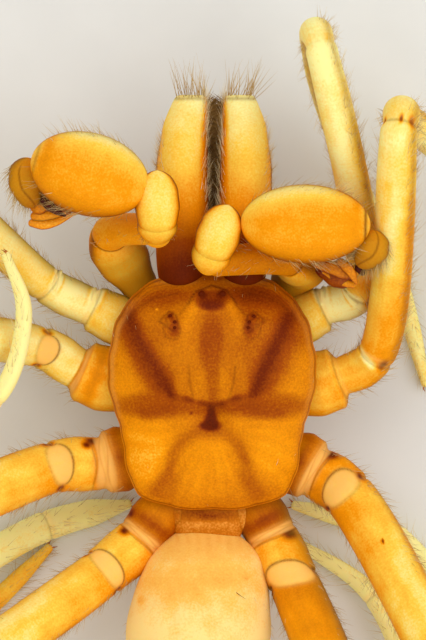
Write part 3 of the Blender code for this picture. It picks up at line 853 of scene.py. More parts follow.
@dataclass
class Coat:
    """Tapered curved hairs grown as one mesh from many roots."""

    name: str
    length: tuple[float, float]
    thickness: float
    stand: tuple[float, float] = (0.5, 1.1)
    curl: float = 0.35
    tip_tone: float = 0.35
    seed: int = 1

    TAPER = (1.0, 0.86, 0.55, 0.16)
    SUNK = 0.03
    PATCH = 0.003
    STRAY = 0.22
    BEND_STRAY = 0.16
    THICKNESS_SPREAD = (0.75, 1.2)

    def grow(self, template: bpy.types.Mesh, roots: Roots) -> bpy.types.Object:
        """Copy the template hair to every root.

        Args:
            template: a thin rod whose ring numbers are heights.
            roots: where the hairs stand.

        Returns:
            The coat as an object in millimetres, with its OFBake map.
        """
        draw = np.random.default_rng(self.seed)
        count = len(roots.points)
        base = points_of(template)
        rise = base[:, 2] / base[:, 2].max()
        round_x, round_y = base[:, 0], base[:, 1]
        length = draw.uniform(*self.length, count)[:, None]
        lift = draw.uniform(*self.stand, count)[:, None]
        stray = draw.normal(0.0, self.STRAY, (count, 3))
        heading = unit(roots.normals * np.sin(lift) + roots.lies * np.cos(lift) + stray)
        bend = (roots.lies * self.curl + draw.normal(0.0, self.BEND_STRAY, (count, 3))) * length
        side = unit(np.cross(heading, roots.lies + 0.3 * stray + 1e-3))
        other = np.cross(heading, side)
        taper = np.interp(rise, np.linspace(0.0, 1.0, len(self.TAPER)), self.TAPER) * self.thickness
        thick = draw.uniform(*self.THICKNESS_SPREAD, count)[:, None, None]
        start = roots.points - roots.normals * self.SUNK
        along = rise[None, :, None]
        points = start[:, None] + (heading * length)[:, None] * along + bend[:, None] * along**2
        points = points + (side[:, None] * (round_x * taper)[None, :, None]) * thick
        points = points + (other[:, None] * (round_y * taper)[None, :, None]) * thick
        points[..., 2] = np.maximum(points[..., 2], FLOOR_LEVEL)
        return self.build(template, roots, points, rise)

    def build(
        self, template: bpy.types.Mesh, roots: Roots, points: np.ndarray, rise: np.ndarray
    ) -> bpy.types.Object:
        """Make the mesh of all copies, with marks and the bake map."""
        count, size = points.shape[:2]
        loops = np.array([loop.vertex_index for loop in template.loops])
        starts = np.array([face.loop_start for face in template.polygons])
        shift = np.arange(count)[:, None]
        mesh = bpy.data.meshes.new(self.name)
        mesh.vertices.add(count * size)
        mesh.vertices.foreach_set("co", flat_floats(points))
        mesh.loops.add(count * len(loops))
        mesh.loops.foreach_set("vertex_index", (loops[None] + shift * size).astype(np.int32).ravel())
        mesh.polygons.add(count * len(starts))
        mesh.polygons.foreach_set("loop_start", (starts[None] + shift * len(loops)).astype(np.int32).ravel())
        mesh.update(calc_edges=True)
        bake = mesh.uv_layers.new(name="OFBake")
        across = points_of(template)[loops, 0] * 0.5
        patch = np.stack([across, rise[loops] - 0.5], axis=-1) * self.PATCH
        uv = roots.places[:, None] + patch[None]
        bake.data.foreach_set("uv", flat_floats(uv))
        shade = np.repeat(roots.tones, size) + self.tip_tone * np.tile(rise, count)
        lay_attributes(mesh, points, plain_marks(count * size, shade))
        return placed(self.name, mesh)


def hair_tones(draw: np.random.Generator, skin_tones: np.ndarray) -> np.ndarray:
    """Tones of hair roots, drawn around a share of the skin's own."""
    return SKIN_SHARE * skin_tones + draw.uniform(*ROOT_TONES, len(skin_tones))


def bake_places(turn: np.ndarray, share: np.ndarray) -> np.ndarray:
    """Places on the unwrapped skin, from the turn round it and the share of its length."""
    return np.clip(np.stack([turn, share], axis=-1), 0.0, 1.0) * (1.0 - 2.0 * BAKE_MARGIN) + BAKE_MARGIN


def tube_roots(tube: Tube, count: int, spread: Rows, round_it: Rows, seed: int) -> Roots:
    """Draw hair roots on a tube.

    Args:
        tube: the tube.
        count: how many hairs.
        spread: rows of (joint number, density).
        round_it: rows of (angle from the dorsal line, density).
        seed: of the draw.

    Returns:
        The roots.
    """
    draw = np.random.default_rng(seed)
    fine = np.linspace(0.02, tube.line.length - 0.02, 600)
    density = interpolate(spread, np.interp(fine, tube.line.marks, tube.line.places))
    total = np.cumsum(density)
    distance = np.interp(draw.uniform(0.0, total[-1], count), total, fine)
    turns = np.linspace(-math.pi, math.pi, 181)
    weight = np.cumsum(interpolate(round_it, np.abs(turns)))
    angle = np.interp(draw.uniform(0.0, weight[-1], count), weight, turns)
    points, normals = tube.surface(distance, angle)
    lies = unit(tube.line.read(tube.line.heading, distance))
    places = bake_places(angle / (2.0 * math.pi) + 0.5, distance / tube.line.length)
    tones = hair_tones(draw, tube.marks(distance, angle)[:, Mark.TONE])
    return Roots(points, normals, lies, tones, places)


def skin_roots(skin: Skin, weight: np.ndarray, lie: Colour, count: int, seed: int) -> Roots:
    """Draw hair roots on an egg-shaped skin, by a weight for each vertex."""
    draw = np.random.default_rng(seed)
    chosen = draw.choice(len(skin.points), count, p=weight / weight.sum())
    middle = skin.points.mean(axis=0)
    piece = skin.mesh.copy()
    piece.vertices.foreach_set("co", flat_floats(skin.points))
    piece.update()
    flat = np.empty(len(piece.vertices) * 3, dtype=np.float32)
    piece.vertices.foreach_get("normal", flat)
    bpy.data.meshes.remove(piece)
    normals = flat.reshape(-1, 3)[chosen].astype(float)
    points = skin.points[chosen] + draw.normal(0.0, ROOT_SCATTER, (count, 3))
    off = points - middle
    normals = normals * np.where((normals * off).sum(axis=1) < 0.0, -1.0, 1.0)[:, None]
    lies = unit(np.broadcast_to(np.array(lie, dtype=float), normals.shape) - normals * 0.1)
    turn = np.arctan2(off[:, 0], off[:, 2]) / (2.0 * math.pi) + 0.5
    span = skin.points[:, 1].max() - skin.points[:, 1].min()
    share = (points[:, 1] - skin.points[:, 1].min()) / span
    tones = hair_tones(draw, skin.marks[chosen, Mark.TONE])
    return Roots(points, normals, lies, tones, bake_places(turn, share))


# Carapace, sternum and eyes


@dataclass
class Carapace:
    """The domed shield over head and thorax, with its core below."""

    outline: Rows = (
        (-90.0, 1.665), (-66.0, 1.776), (-47.0, 1.939), (-34.0, 1.832), (-18.0, 1.678), (-5.0, 1.674),
        (5.0, 1.776), (20.0, 2.003), (34.0, 2.225), (46.0, 2.464), (57.0, 2.613), (66.0, 2.682),
        (76.0, 2.647), (90.0, 2.605),
    )
    crown: Rows = (
        (-2.1, 0.38), (-1.2, 0.66), (-0.3, 0.80), (0.6, 0.98), (1.4, 1.04), (2.0, 0.92), (2.3, 0.80),
    )
    underside: Rows = (
        (0.00, 1.00, 0.00), (0.22, 0.96, 0.70), (0.43, 0.60, 1.00), (0.62, 0.56, 1.00),
        (0.78, 0.52, 1.00), (0.90, 0.40, 1.00), (0.98, 0.20, 1.00), (1.00, 0.00, 1.00),
    )
    centre_y: float = -0.30
    rim_height: float = 2.65
    core_depth: float = 1.00
    brim_depth: float = 0.12

    BASE_TONE = 0.60
    HEAD_GROUNDS = 8
    WRINKLE_PITCH = 0.021
    WRINKLE_RISE = 0.0035
    BUMPS = (
        (0.14, Spot(0.03, 1.84, 0.42, 0.30)),
        (0.06, Spot(-0.70, 1.40, 0.24, 0.26)),
        (0.06, Spot(0.73, 1.40, 0.24, 0.26)),
        (-0.22, Spot(0.0, -0.30, 0.26, 0.30)),
    )
    GROOVES = (
        (-0.022, Stroke(((1.32, 1.40), (0.94, 0.66), (0.74, 0.12)), 0.15)),
        (-0.016, Stroke(((0.30, -0.20), (1.60, -0.10)), 0.16)),
        (-0.018, Stroke(((0.28, -0.58), (0.60, -0.95), (0.70, -1.45)), 0.13)),
        (0.020, Spot(0.42, 0.95, 0.30, 0.60)),
        (0.022, Spot(1.15, -0.84, 0.42, 0.55)),
    )
    MEDIAN_GROOVE = (0.022, Spot(-0.02, -1.16, 0.40, 0.55))

    def radius(self, angle: np.ndarray) -> np.ndarray:
        """Radius of the outline at angles in radians from +X."""
        degrees = np.degrees(angle)
        degrees = np.where(degrees > 90.0, 180.0 - degrees, degrees)
        degrees = np.where(degrees < -90.0, -180.0 - degrees, degrees)
        return interpolate(self.outline, degrees)

    def reach(self, x: np.ndarray, y: np.ndarray) -> np.ndarray:
        """Share of the way from the centre to the outline."""
        rise = y - self.centre_y
        return np.hypot(x, rise) / self.radius(np.arctan2(rise, x))

    def corner(self, x: np.ndarray, y: np.ndarray) -> np.ndarray:
        """Share of the front corners, where the shield is finely wrinkled."""
        degrees = np.degrees(np.arctan2(y - self.centre_y, np.abs(x)))
        return bell(degrees, 60.0, 12.0)

    def wrinkles(self, x: np.ndarray, y: np.ndarray) -> np.ndarray:
        """Fine arcs that run beside the edge of the front corners."""
        reach = self.reach(x, y)
        zone = slope(reach, 0.86, 0.05) * np.clip((0.985 - reach) / 0.02, 0.0, 1.0)
        wave = np.sin(2.0 * math.pi * (reach + 0.010 * np.sin(6.0 * x + 3.0 * y)) / self.WRINKLE_PITCH)
        return wave * zone * self.corner(x, y)

    def top(self, x: np.ndarray, y: np.ndarray, fine: bool = True) -> np.ndarray:
        """Height of the upper surface above the floor."""
        reach = np.minimum(self.reach(x, y), 1.0)
        dome = np.sqrt(np.maximum(1.0 - reach**2, 0.0)) ** 0.85
        bumps = sum(rise * spot.cover(x, y) for rise, spot in self.BUMPS)
        if fine:
            bumps = bumps + self.MEDIAN_GROOVE[0] * self.MEDIAN_GROOVE[1].cover(x, y)
            for rise, shape in self.GROOVES:
                bumps = bumps + rise * sum(twin.cover(x, y) for twin in mirrored(shape))
            bumps = bumps + self.WRINKLE_RISE * self.wrinkles(x, y)
            bumps = bumps + 0.006 * bell(reach, 0.975, 0.014)
        height = interpolate(self.crown, y) * dome + bumps * np.minimum(1.0, 2.5 * dome)
        return self.rim_height + height

    def shaped(self, unit_points: np.ndarray) -> np.ndarray:
        """Places of a unit ball's points on the shield and its core."""
        px, py, pz = unit_points.T
        angle = np.arctan2(py, px)
        reach = np.minimum(1.0, np.hypot(px, py))
        radius = self.radius(angle)
        upper = pz >= 0.0
        depth = np.maximum(-pz, 0.0)
        share = interpolate(self.underside, depth)
        facing = slope(np.sin(angle), 0.90, 0.05)
        full_front = np.minimum(0.95, 1.2 * reach)
        share = share + (np.maximum(share, full_front) - share) * facing
        share = np.where(upper, reach, share)
        x = np.cos(angle) * radius * share
        y = self.centre_y + np.sin(angle) * radius * share
        brim = self.brim_depth * interpolate(self.underside, depth, column=2)
        core = self.core_depth * slope(depth, 0.43, 0.42)
        z = np.where(upper, self.top(x, y), self.rim_height - np.maximum(brim, core))
        return np.stack([x, y, z], axis=-1)

    def head_paints(self) -> tuple[Paint, ...]:
        """The darker head: cheeks, tubercle, median band and the pale flames below it."""
        tone, seam, flesh = Mark.TONE, Mark.SEAM, Mark.FLESH
        brow = ((-0.43, 1.73), (-0.30, 1.95), (0.0, 2.06), (0.26, 1.98), (0.45, 1.73))
        return (
            Paint(tone, 0.505, 0.92, Spot(0.0, 0.95, 1.20, 1.12, edge=2.6)),
            Paint(tone, 0.45, 0.80, Spot(0.55, 1.05, 0.55, 0.85, edge=1.6)),
            Paint(tone, 0.43, 0.80, Spot(1.45, 1.45, 0.30, 0.55, turn=0.5, edge=1.6)),
            Paint(tone, 0.53, 0.80, Spot(-1.38, 1.72, 0.34, 0.20, turn=-0.6, edge=1.4)),
            Paint(tone, 0.34, 0.88, Spot(-0.84, 1.84, 0.58, 0.20, turn=0.15, edge=1.6)),
            Paint(tone, 0.20, 0.90, Spot(0.80, 1.86, 0.60, 0.22, turn=-0.15, edge=1.6)),
            Paint(tone, 0.36, 0.60, Spot(0.95, 1.50, 0.45, 0.30, edge=1.4)),
            Paint(tone, 0.40, 0.50, Spot(-0.95, 1.30, 0.40, 0.35, edge=1.4)),
            Paint(tone, 0.67, 0.85, Stroke(((-0.30, 1.70), (-0.43, 1.48), (-0.48, 1.24)), 0.115)),
            Paint(tone, 0.60, 0.85, Stroke(((0.32, 1.70), (0.44, 1.48), (0.48, 1.24)), 0.095)),
            Paint(tone, 0.57, 0.75, Spot(-0.42, 1.05, 0.17, 0.40, edge=1.4)),
            Paint(tone, 0.51, 0.70, Spot(0.42, 1.05, 0.15, 0.40, edge=1.4)),
            Paint(tone, 0.375, 0.92, Spot(-0.01, 1.02, 0.225, 0.58, edge=3.0)),
            Paint(tone, 0.40, 0.85, Spot(0.02, 0.40, 0.125, 0.50, edge=2.2)),
            Paint(tone, 0.53, 0.85, Spot(-0.53, 0.36, 0.13, 0.36, turn=-0.15, edge=1.8)),
            Paint(tone, 0.55, 0.85, Spot(-0.25, 0.28, 0.10, 0.32, turn=-0.12, edge=1.8)),
            Paint(tone, 0.55, 0.85, Spot(0.24, 0.28, 0.10, 0.32, turn=0.12, edge=1.8)),
            Paint(tone, 0.50, 0.85, Spot(0.54, 0.36, 0.12, 0.36, turn=0.15, edge=1.8)),
            Paint(seam, 0.40, 0.8, Stroke(((-0.42, 0.62), (-0.40, 0.30), (-0.33, 0.02)), 0.022)),
            Paint(seam, 0.40, 0.8, Stroke(((0.42, 0.60), (0.38, 0.28), (0.29, 0.0)), 0.022)),
            Paint(tone, 0.24, 0.95, Spot(-0.01, 1.79, 0.29, 0.17, edge=2.4)),
            Paint(tone, 0.15, 0.85, Spot(-0.01, 1.70, 0.21, 0.09, edge=1.8)),
            *both_sides(tone, 0.12, 0.85, Spot(0.175, 1.90, 0.075, 0.080)),
            Paint(tone, 0.36, 0.70, Spot(-0.005, 1.89, 0.05, 0.07)),
            Paint(tone, 0.47, 0.85, Spot(0.0, 2.10, 0.85, 0.10, edge=1.6)),
            *both_sides(flesh, 0.25, 0.8, Spot(0.62, 2.13, 0.30, 0.05, edge=1.3)),
            Paint(tone, 0.20, 0.85, Spot(0.0, 2.25, 0.55, 0.10, edge=1.6)),
            Paint(seam, 0.80, 0.95, Stroke(brow, 0.020)),
            *both_sides(seam, 0.45, 0.8, Stroke(((0.44, 1.73), (0.60, 1.52)), 0.018)),
            *both_sides(seam, 0.42, 0.8, Stroke(((1.52, 1.40), (1.34, 1.66), (1.05, 1.83), (0.62, 1.92)), 0.022)),
            *both_sides(seam, 0.30, 0.8, Stroke(((1.72, 1.40), (1.50, 1.78), (1.15, 2.02), (0.70, 2.12)), 0.016)),
        )

    def eye_paints(self) -> tuple[Paint, ...]:
        """Dark marks and leaf-like outlines round the side eyes."""
        tone, seam = Mark.TONE, Mark.SEAM
        paints = []
        for side in (-1.0, 1.0):
            leaf = ((0.60, 1.30), (0.64, 1.52), (0.76, 1.60), (0.95, 1.42), (0.78, 1.30), (0.70, 1.24))
            low = ((0.60, 1.38), (0.56, 1.22), (0.66, 1.08), (0.84, 1.14), (0.88, 1.30))
            inner = ((0.70, 1.56), (0.84, 1.46), (0.80, 1.36))
            for line, level in ((leaf, 0.60), (low, 0.40), (inner, 0.45)):
                paints.append(Paint(seam, level, 0.9, Stroke(tuple((side * x, y) for x, y in line), 0.019)))
            for x, y, size in ((0.74, 1.50, 0.060), (0.67, 1.39, 0.055), (0.67, 1.26, 0.085)):
                paints.append(Paint(tone, 0.20, 0.85, Spot(side * x, y, size, 1.2 * size)))
        return tuple(paints)

    def thorax_paints(self) -> tuple[Paint, ...]:
        """The dark V, the cross band, the fovea and the arch over a pale middle."""
        tone, seam = Mark.TONE, Mark.SEAM
        left_band = ((-1.50, 1.50), (-1.33, 1.08), (-1.12, 0.75), (-0.94, 0.45), (-0.77, 0.14), (-0.68, 0.0))
        right_band = ((1.36, 1.48), (1.26, 1.20), (1.08, 0.84), (0.93, 0.52), (0.81, 0.22), (0.70, 0.0))
        outer_left = ((-1.50, 1.20), (-1.36, 0.86), (-1.16, 0.50), (-0.98, 0.22))
        outer_right = ((1.44, 1.10), (1.28, 0.78), (1.10, 0.44), (0.96, 0.20))
        top_line = ((-0.75, 0.10), (-0.34, -0.02), (-0.07, -0.08), (0.14, -0.08), (0.44, 0.04), (0.78, 0.10))
        arch = (
            (-0.95, -1.68), (-0.81, -1.42), (-0.74, -1.17), (-0.67, -0.92), (-0.53, -0.72),
            (-0.28, -0.57), (0.18, -0.57), (0.42, -0.72), (0.54, -0.92), (0.61, -1.17), (0.67, -1.42),
            (0.80, -1.68),
        )
        return (
            Paint(tone, 0.745, 0.92, Spot(-1.22, -1.02, 0.54, 0.64, edge=1.8)),
            Paint(tone, 0.685, 0.92, Spot(1.12, -1.00, 0.52, 0.64, edge=1.8)),
            Paint(tone, 0.64, 0.70, Spot(-1.62, 0.55, 0.22, 0.60, edge=1.3)),
            Paint(tone, 0.33, 0.86, Stroke(outer_left, 0.20)),
            Paint(tone, 0.36, 0.80, Stroke(outer_right, 0.20)),
            Paint(tone, 0.27, 0.80, Stroke(left_band, 0.20)),
            Paint(tone, 0.24, 0.82, Stroke(right_band, 0.20)),
            Paint(tone, 0.21, 0.88, Stroke(left_band, 0.11)),
            Paint(tone, 0.18, 0.88, Stroke(right_band, 0.11)),
            Paint(tone, 0.395, 0.93, Spot(-1.08, -0.10, 0.70, 0.235, edge=2.8)),
            Paint(tone, 0.395, 0.93, Spot(1.06, -0.10, 0.68, 0.245, edge=2.8)),
            Paint(tone, 0.34, 0.80, Stroke(((-1.20, -0.20), (-0.60, -0.12), (-0.10, -0.20)), 0.13)),
            Paint(tone, 0.34, 0.80, Stroke(((1.20, -0.20), (0.60, -0.12), (0.10, -0.18)), 0.13)),
            Paint(tone, 0.19, 0.80, Stroke(top_line, 0.060)),
            Paint(tone, 0.53, 0.80, Spot(0.0, -1.90, 1.15, 0.20, edge=1.8)),
            *both_sides(tone, 0.48, 0.65, Spot(0.90, -1.66, 0.34, 0.24)),
            Paint(tone, 0.645, 0.95, Spot(-0.05, -1.17, 0.46, 0.62, edge=2.6)),
            Paint(tone, 0.47, 0.80, Spot(-0.02, -0.48, 0.36, 0.16, edge=1.8)),
            Paint(tone, 0.45, 0.96, Stroke(arch, 0.125)),
            Paint(tone, 0.47, 0.80, Stroke(arch[:2], 0.190)),
            Paint(tone, 0.47, 0.80, Stroke(arch[-2:], 0.180)),
            Paint(tone, 0.12, 0.96, Spot(-0.01, -0.24, 0.080, 0.19, edge=2.0)),
            Paint(tone, 0.10, 0.96, Spot(-0.02, -0.36, 0.120, 0.12, edge=2.0)),
            Paint(tone, 0.10, 0.96, Spot(-0.03, -0.46, 0.195, 0.100, edge=2.4)),
            Paint(seam, 0.55, 0.9, Spot(-0.01, -0.16, 0.045, 0.10)),
            Paint(tone, 0.15, 0.90, Spot(-0.37, -0.23, 0.026, 0.026)),
            Paint(tone, 0.95, 0.80, Spot(-0.99, 1.63, 0.020, 0.020)),
            Paint(tone, 0.95, 0.80, Spot(0.52, 0.77, 0.018, 0.018)),
        )

    def marks(self, points: np.ndarray) -> np.ndarray:
        """The marks of the shield's points."""
        x, y, z = points.T
        reach = self.reach(x, y)
        marks = plain_marks(len(points), self.BASE_TONE)
        head = self.head_paints()
        ground, details = head[: self.HEAD_GROUNDS], head[self.HEAD_GROUNDS :]
        for paint in (*ground, *self.thorax_paints(), *details, *self.eye_paints()):
            lay_on(marks, paint.mark, paint.level, paint.share * paint.shape.cover(x, y))
        spread = np.arctan2(y + 0.45, np.abs(x))
        rays = np.sin(26.0 * spread + 1.5 * np.sin(5.0 * x)) * slope(-y, 0.35, 0.2)
        marks[:, Mark.TONE] += 0.016 * rays * slope(reach, 0.25, 0.3)
        strip = bell(reach, 0.955, 0.022) * np.clip((1.2 - np.abs(y - 0.7)) / 0.6, 0.0, 1.0)
        lay_on(marks, Mark.FLESH, 0.30, np.where(x < 0.0, 0.6, 0.3) * strip)
        lay_on(marks, Mark.TONE, 0.55, slope(reach, 0.93, 0.03) * 0.5)
        lay_on(marks, Mark.SEAM, 0.60, bell(reach, 0.984, 0.0055))
        lay_on(marks, Mark.SEAM, 0.32, np.clip(-self.wrinkles(x, y), 0.0, 1.0))
        lay_on(marks, Mark.TONE, 0.40, np.where(z < self.rim_height - 0.02, 0.7, 0.0))
        return marks

    def build(self, animal: Animal) -> Skin:
        """Model the shield and hand over its skin for the hair."""
        mesh = ball(384, 200)
        points = self.shaped(points_of(mesh))
        skin = Skin(mesh, points, points, self.marks(points))
        animal.settle(skin.piece("carapace_shield"), CARAPACE, "carapace_amber", ("carapace",), sharp=50.0)
        return skin


@dataclass
class Sternum:
    """The plate under the thorax, with the lip in front of it."""

    shield: Carapace
    share: float = 0.62
    level: float = 1.38
    rise: float = 0.42
    drop: float = 0.26

    PITS = ((0.10, Spot(0.72, 0.35, 0.10, 0.13)), (0.08, Spot(0.80, -0.45, 0.09, 0.12)))

    def build(self, animal: Animal) -> Skin:
        """Model the plate and its lip."""
        mesh = ball(96, 48)
        px, py, pz = points_of(mesh).T
        angle = np.arctan2(py, px)
        reach = np.hypot(px, py) ** 0.8
        radius = self.shield.radius(angle) * self.share * reach
        x = np.cos(angle) * radius
        y = self.shield.centre_y + np.sin(angle) * radius
        z = self.level + np.where(pz > 0.0, self.rise, self.drop) * pz
        for depth, pit in self.PITS:
            z = z + np.where(pz < 0.0, depth, 0.0) * sum(twin.cover(x, y) for twin in mirrored(pit))
        points = np.stack([x, y, z], axis=-1)
        marks = plain_marks(len(points), 0.52 + 0.16 * np.exp(-(reach**2) * 2.0))
        lay_on(marks, Mark.TONE, 0.25, 0.7 * bell(reach, 0.97, 0.06))
        plate = Skin(mesh, points, points, marks)
        form = Egg(
            back=1.00,
            front=1.72,
            width=((0.0, 0.50), (0.6, 0.46), (1.0, 0.24)),
            height=((0.0, 0.22), (1.0, 0.16)),
            centre_x=((0.0, 0.0), (1.0, 0.0)),
            centre_z=((0.0, 1.36), (1.0, 1.52)),
            blunt=0.5,
        )
        lip = egg(ball(48, 24), form, tone=0.42)
        piece = joined("sternum_plate", [plate.piece("sternum_plate"), lip.piece("labium")])
        animal.settle(piece, LIMB, "limb_amber", ("sternum",))
        return plate


@dataclass(frozen=True)
class Egg:
    """A rounded body along Y: half sizes and centres by share of its length."""

    back: float
    front: float
    width: Rows
    height: Rows
    centre_x: Rows
    centre_z: Rows
    blunt: float


def egg(mesh: bpy.types.Mesh, form: Egg, tone: float) -> Skin:
    """Shape a unit ball, its poles turned along Y, into an egg-like body."""
    px, pz, py = points_of(mesh).T
    share = (1.0 + py) / 2.0
    reach = np.hypot(px, pz)
    swell = np.where(reach > 1e-6, reach**form.blunt / np.maximum(reach, 1e-6), 0.0)
    x = interpolate(form.centre_x, share) + px * swell * interpolate(form.width, share)
    z = interpolate(form.centre_z, share) + pz * swell * interpolate(form.height, share)
    points = np.stack([x, form.back + (form.front - form.back) * share, z], axis=-1)
    return Skin(mesh, points, points, plain_marks(len(points), tone))


@dataclass(frozen=True)
class Eye:
    """One simple eye: its place on the shield and its radius."""

    x: float
    y: float
    radius: float

    RISE = 0.55
    SKIRT = 0.40

    def piece(self, name: str, mesh: bpy.types.Mesh, shield: Carapace) -> bpy.types.Object:
        """A lens that stands in a low brown cup on the shield."""
        px, py, pz = points_of(mesh).T
        foot = float(shield.top(np.array([self.x]), np.array([self.y]), fine=False)[0])
        spread = 1.0 + self.SKIRT * np.clip(-pz, 0.0, 1.0)
        x = self.x + self.radius * px * spread
        y = self.y + self.radius * py * spread
        z = foot + self.radius * self.RISE * pz
        points = np.stack([x, y, z], axis=-1)
        marks = plain_marks(len(points), 0.10 + 0.26 * bell(pz, 0.10, 0.20))
        return Skin(mesh, points, points, marks).piece(name)


@dataclass
class Eyes:
    """Two median eyes on their tubercle and three small ones on each side."""

    shield: Carapace

    MEDIAN = {"left": Eye(-0.185, 1.905, 0.062), "right": Eye(0.19, 1.905, 0.064)}
    LATERAL = {
        "left": (Eye(-0.75, 1.51, 0.038), Eye(-0.67, 1.40, 0.036), Eye(-0.67, 1.30, 0.034)),
        "right": (Eye(0.75, 1.50, 0.038), Eye(0.67, 1.40, 0.036), Eye(0.65, 1.30, 0.034)),
    }

    def build(self, animal: Animal) -> None:
        """Model all eight eyes."""
        lens = ball(32, 20)
        for side, eye in self.MEDIAN.items():
            piece = eye.piece(f"median_eye_{side}", lens, self.shield)
            animal.settle(piece, EYE, "eye_dark", (f"eye_median_{side}",))
        for side, eyes in self.LATERAL.items():
            names = [f"lateral_eye_{side}_{place}" for place in range(len(eyes))]
            pieces = [eye.piece(name, lens, self.shield) for name, eye in zip(names, eyes)]
            piece = joined(f"lateral_eyes_{side}", pieces)
            animal.settle(piece, EYE, "eye_dark", (f"eye_group_{side}",))


# Chelicerae and fangs


@dataclass
class Chelicera:
    """One jaw: the swollen basal segment, its fang and its fringe."""

    side: str
    centre: Rows
    width: Rows
    tip: float = 5.50

    BACK = 2.02
    HEIGHT = ((0.0, 0.66), (0.3, 0.78), (0.72, 0.66), (1.0, 0.40))
    LEVEL = ((0.0, 2.58), (0.3, 2.66), (0.72, 2.56), (1.0, 2.36))
    TONES = (
        (2.3, 0.16), (2.5, 0.21), (2.8, 0.37), (3.06, 0.53), (3.3, 0.63), (3.6, 0.72), (4.2, 0.84),
        (4.7, 0.88), (5.1, 0.94), (5.4, 0.98),
    )

    def skin(self, mesh: bpy.types.Mesh) -> Skin:
        """The basal segment with its marks."""
        form = Egg(self.BACK, self.tip, self.width, self.HEIGHT, self.centre, self.LEVEL, 0.20)
        skin = egg(mesh, form, tone=0.0)
        x, y, _ = skin.points.T
        share = (y - self.BACK) / (self.tip - self.BACK)
        across = (x - interpolate(self.centre, share)) / interpolate(self.width, share)
        inner = across * (-1.0 if self.side == "right" else 1.0)
        skin.marks[:, Mark.TONE] = interpolate(self.TONES, y)
        # Inner face darker: partly the cuticle's own brown, partly painted shade from the narrow gap between the
        # jaws.
        lay_on(skin.marks, Mark.TONE, 0.38, 0.85 * slope(inner, 0.60, 0.36) ** 1.3)
        lay_on(skin.marks, Mark.TONE, 0.66, 0.55 * slope(-inner, 0.60, 0.4) ** 2)
        lay_on(skin.marks, Mark.SEAM, 0.75, slope(np.abs(across), 0.93, 0.06))
        lay_on(skin.marks, Mark.SEAM, 0.45, bell(y, self.tip - 0.07, 0.035))
        return skin

    def fang(self) -> Tube:
        """The fang, folded back under the jaw."""
        tip_x = float(interpolate(self.centre, 0.95))
        inward = -0.12 if self.side == "right" else 0.12
        return Tube(
            name=f"fang_horn_{self.side}",
            joints=(
                (tip_x, self.tip - 0.14, 2.10),
                (tip_x + 0.5 * inward, self.tip - 0.40, 1.60),
                (tip_x + inward, self.tip - 1.35, 1.48),
                (tip_x + 1.5 * inward, self.tip - 2.15, 1.66),
            ),
            radii=((0.0, 0.20), (0.6, 0.19), (1.0, 0.165), (2.0, 0.11), (3.0, 0.025)),
            tones=((0.0, 0.55), (0.6, 0.30), (3.0, 0.10)),
        )

    def build(self, animal: Animal, mesh: bpy.types.Mesh, rod: bpy.types.Mesh) -> Skin:
        """Model jaw and fang, and hand over the jaw's skin for its hair."""
        skin = self.skin(mesh)
        animal.settle(skin.piece(f"jaw_{self.side}"), JAW, "chelicera_russet", (f"chelicera_{self.side}",))
        animal.settle(self.fang().piece(rod), FANG, "fang_dark", (f"fang_{self.side}",))
        return skin


JAWS = (
    Chelicera(
        side="left",
        centre=((0.0, -0.54), (0.36, -0.54), (0.63, -0.54), (0.82, -0.49), (1.0, -0.38)),
        width=((0.0, 0.50), (0.36, 0.49), (0.63, 0.47), (0.82, 0.43), (1.0, 0.37)),
    ),
    Chelicera(
        side="right",
        centre=((0.0, 0.54), (0.36, 0.60), (0.63, 0.61), (0.82, 0.58), (1.0, 0.50)),
        width=((0.0, 0.49), (0.36, 0.49), (0.63, 0.47), (0.82, 0.43), (1.0, 0.36)),
    ),
)


# Abdomen


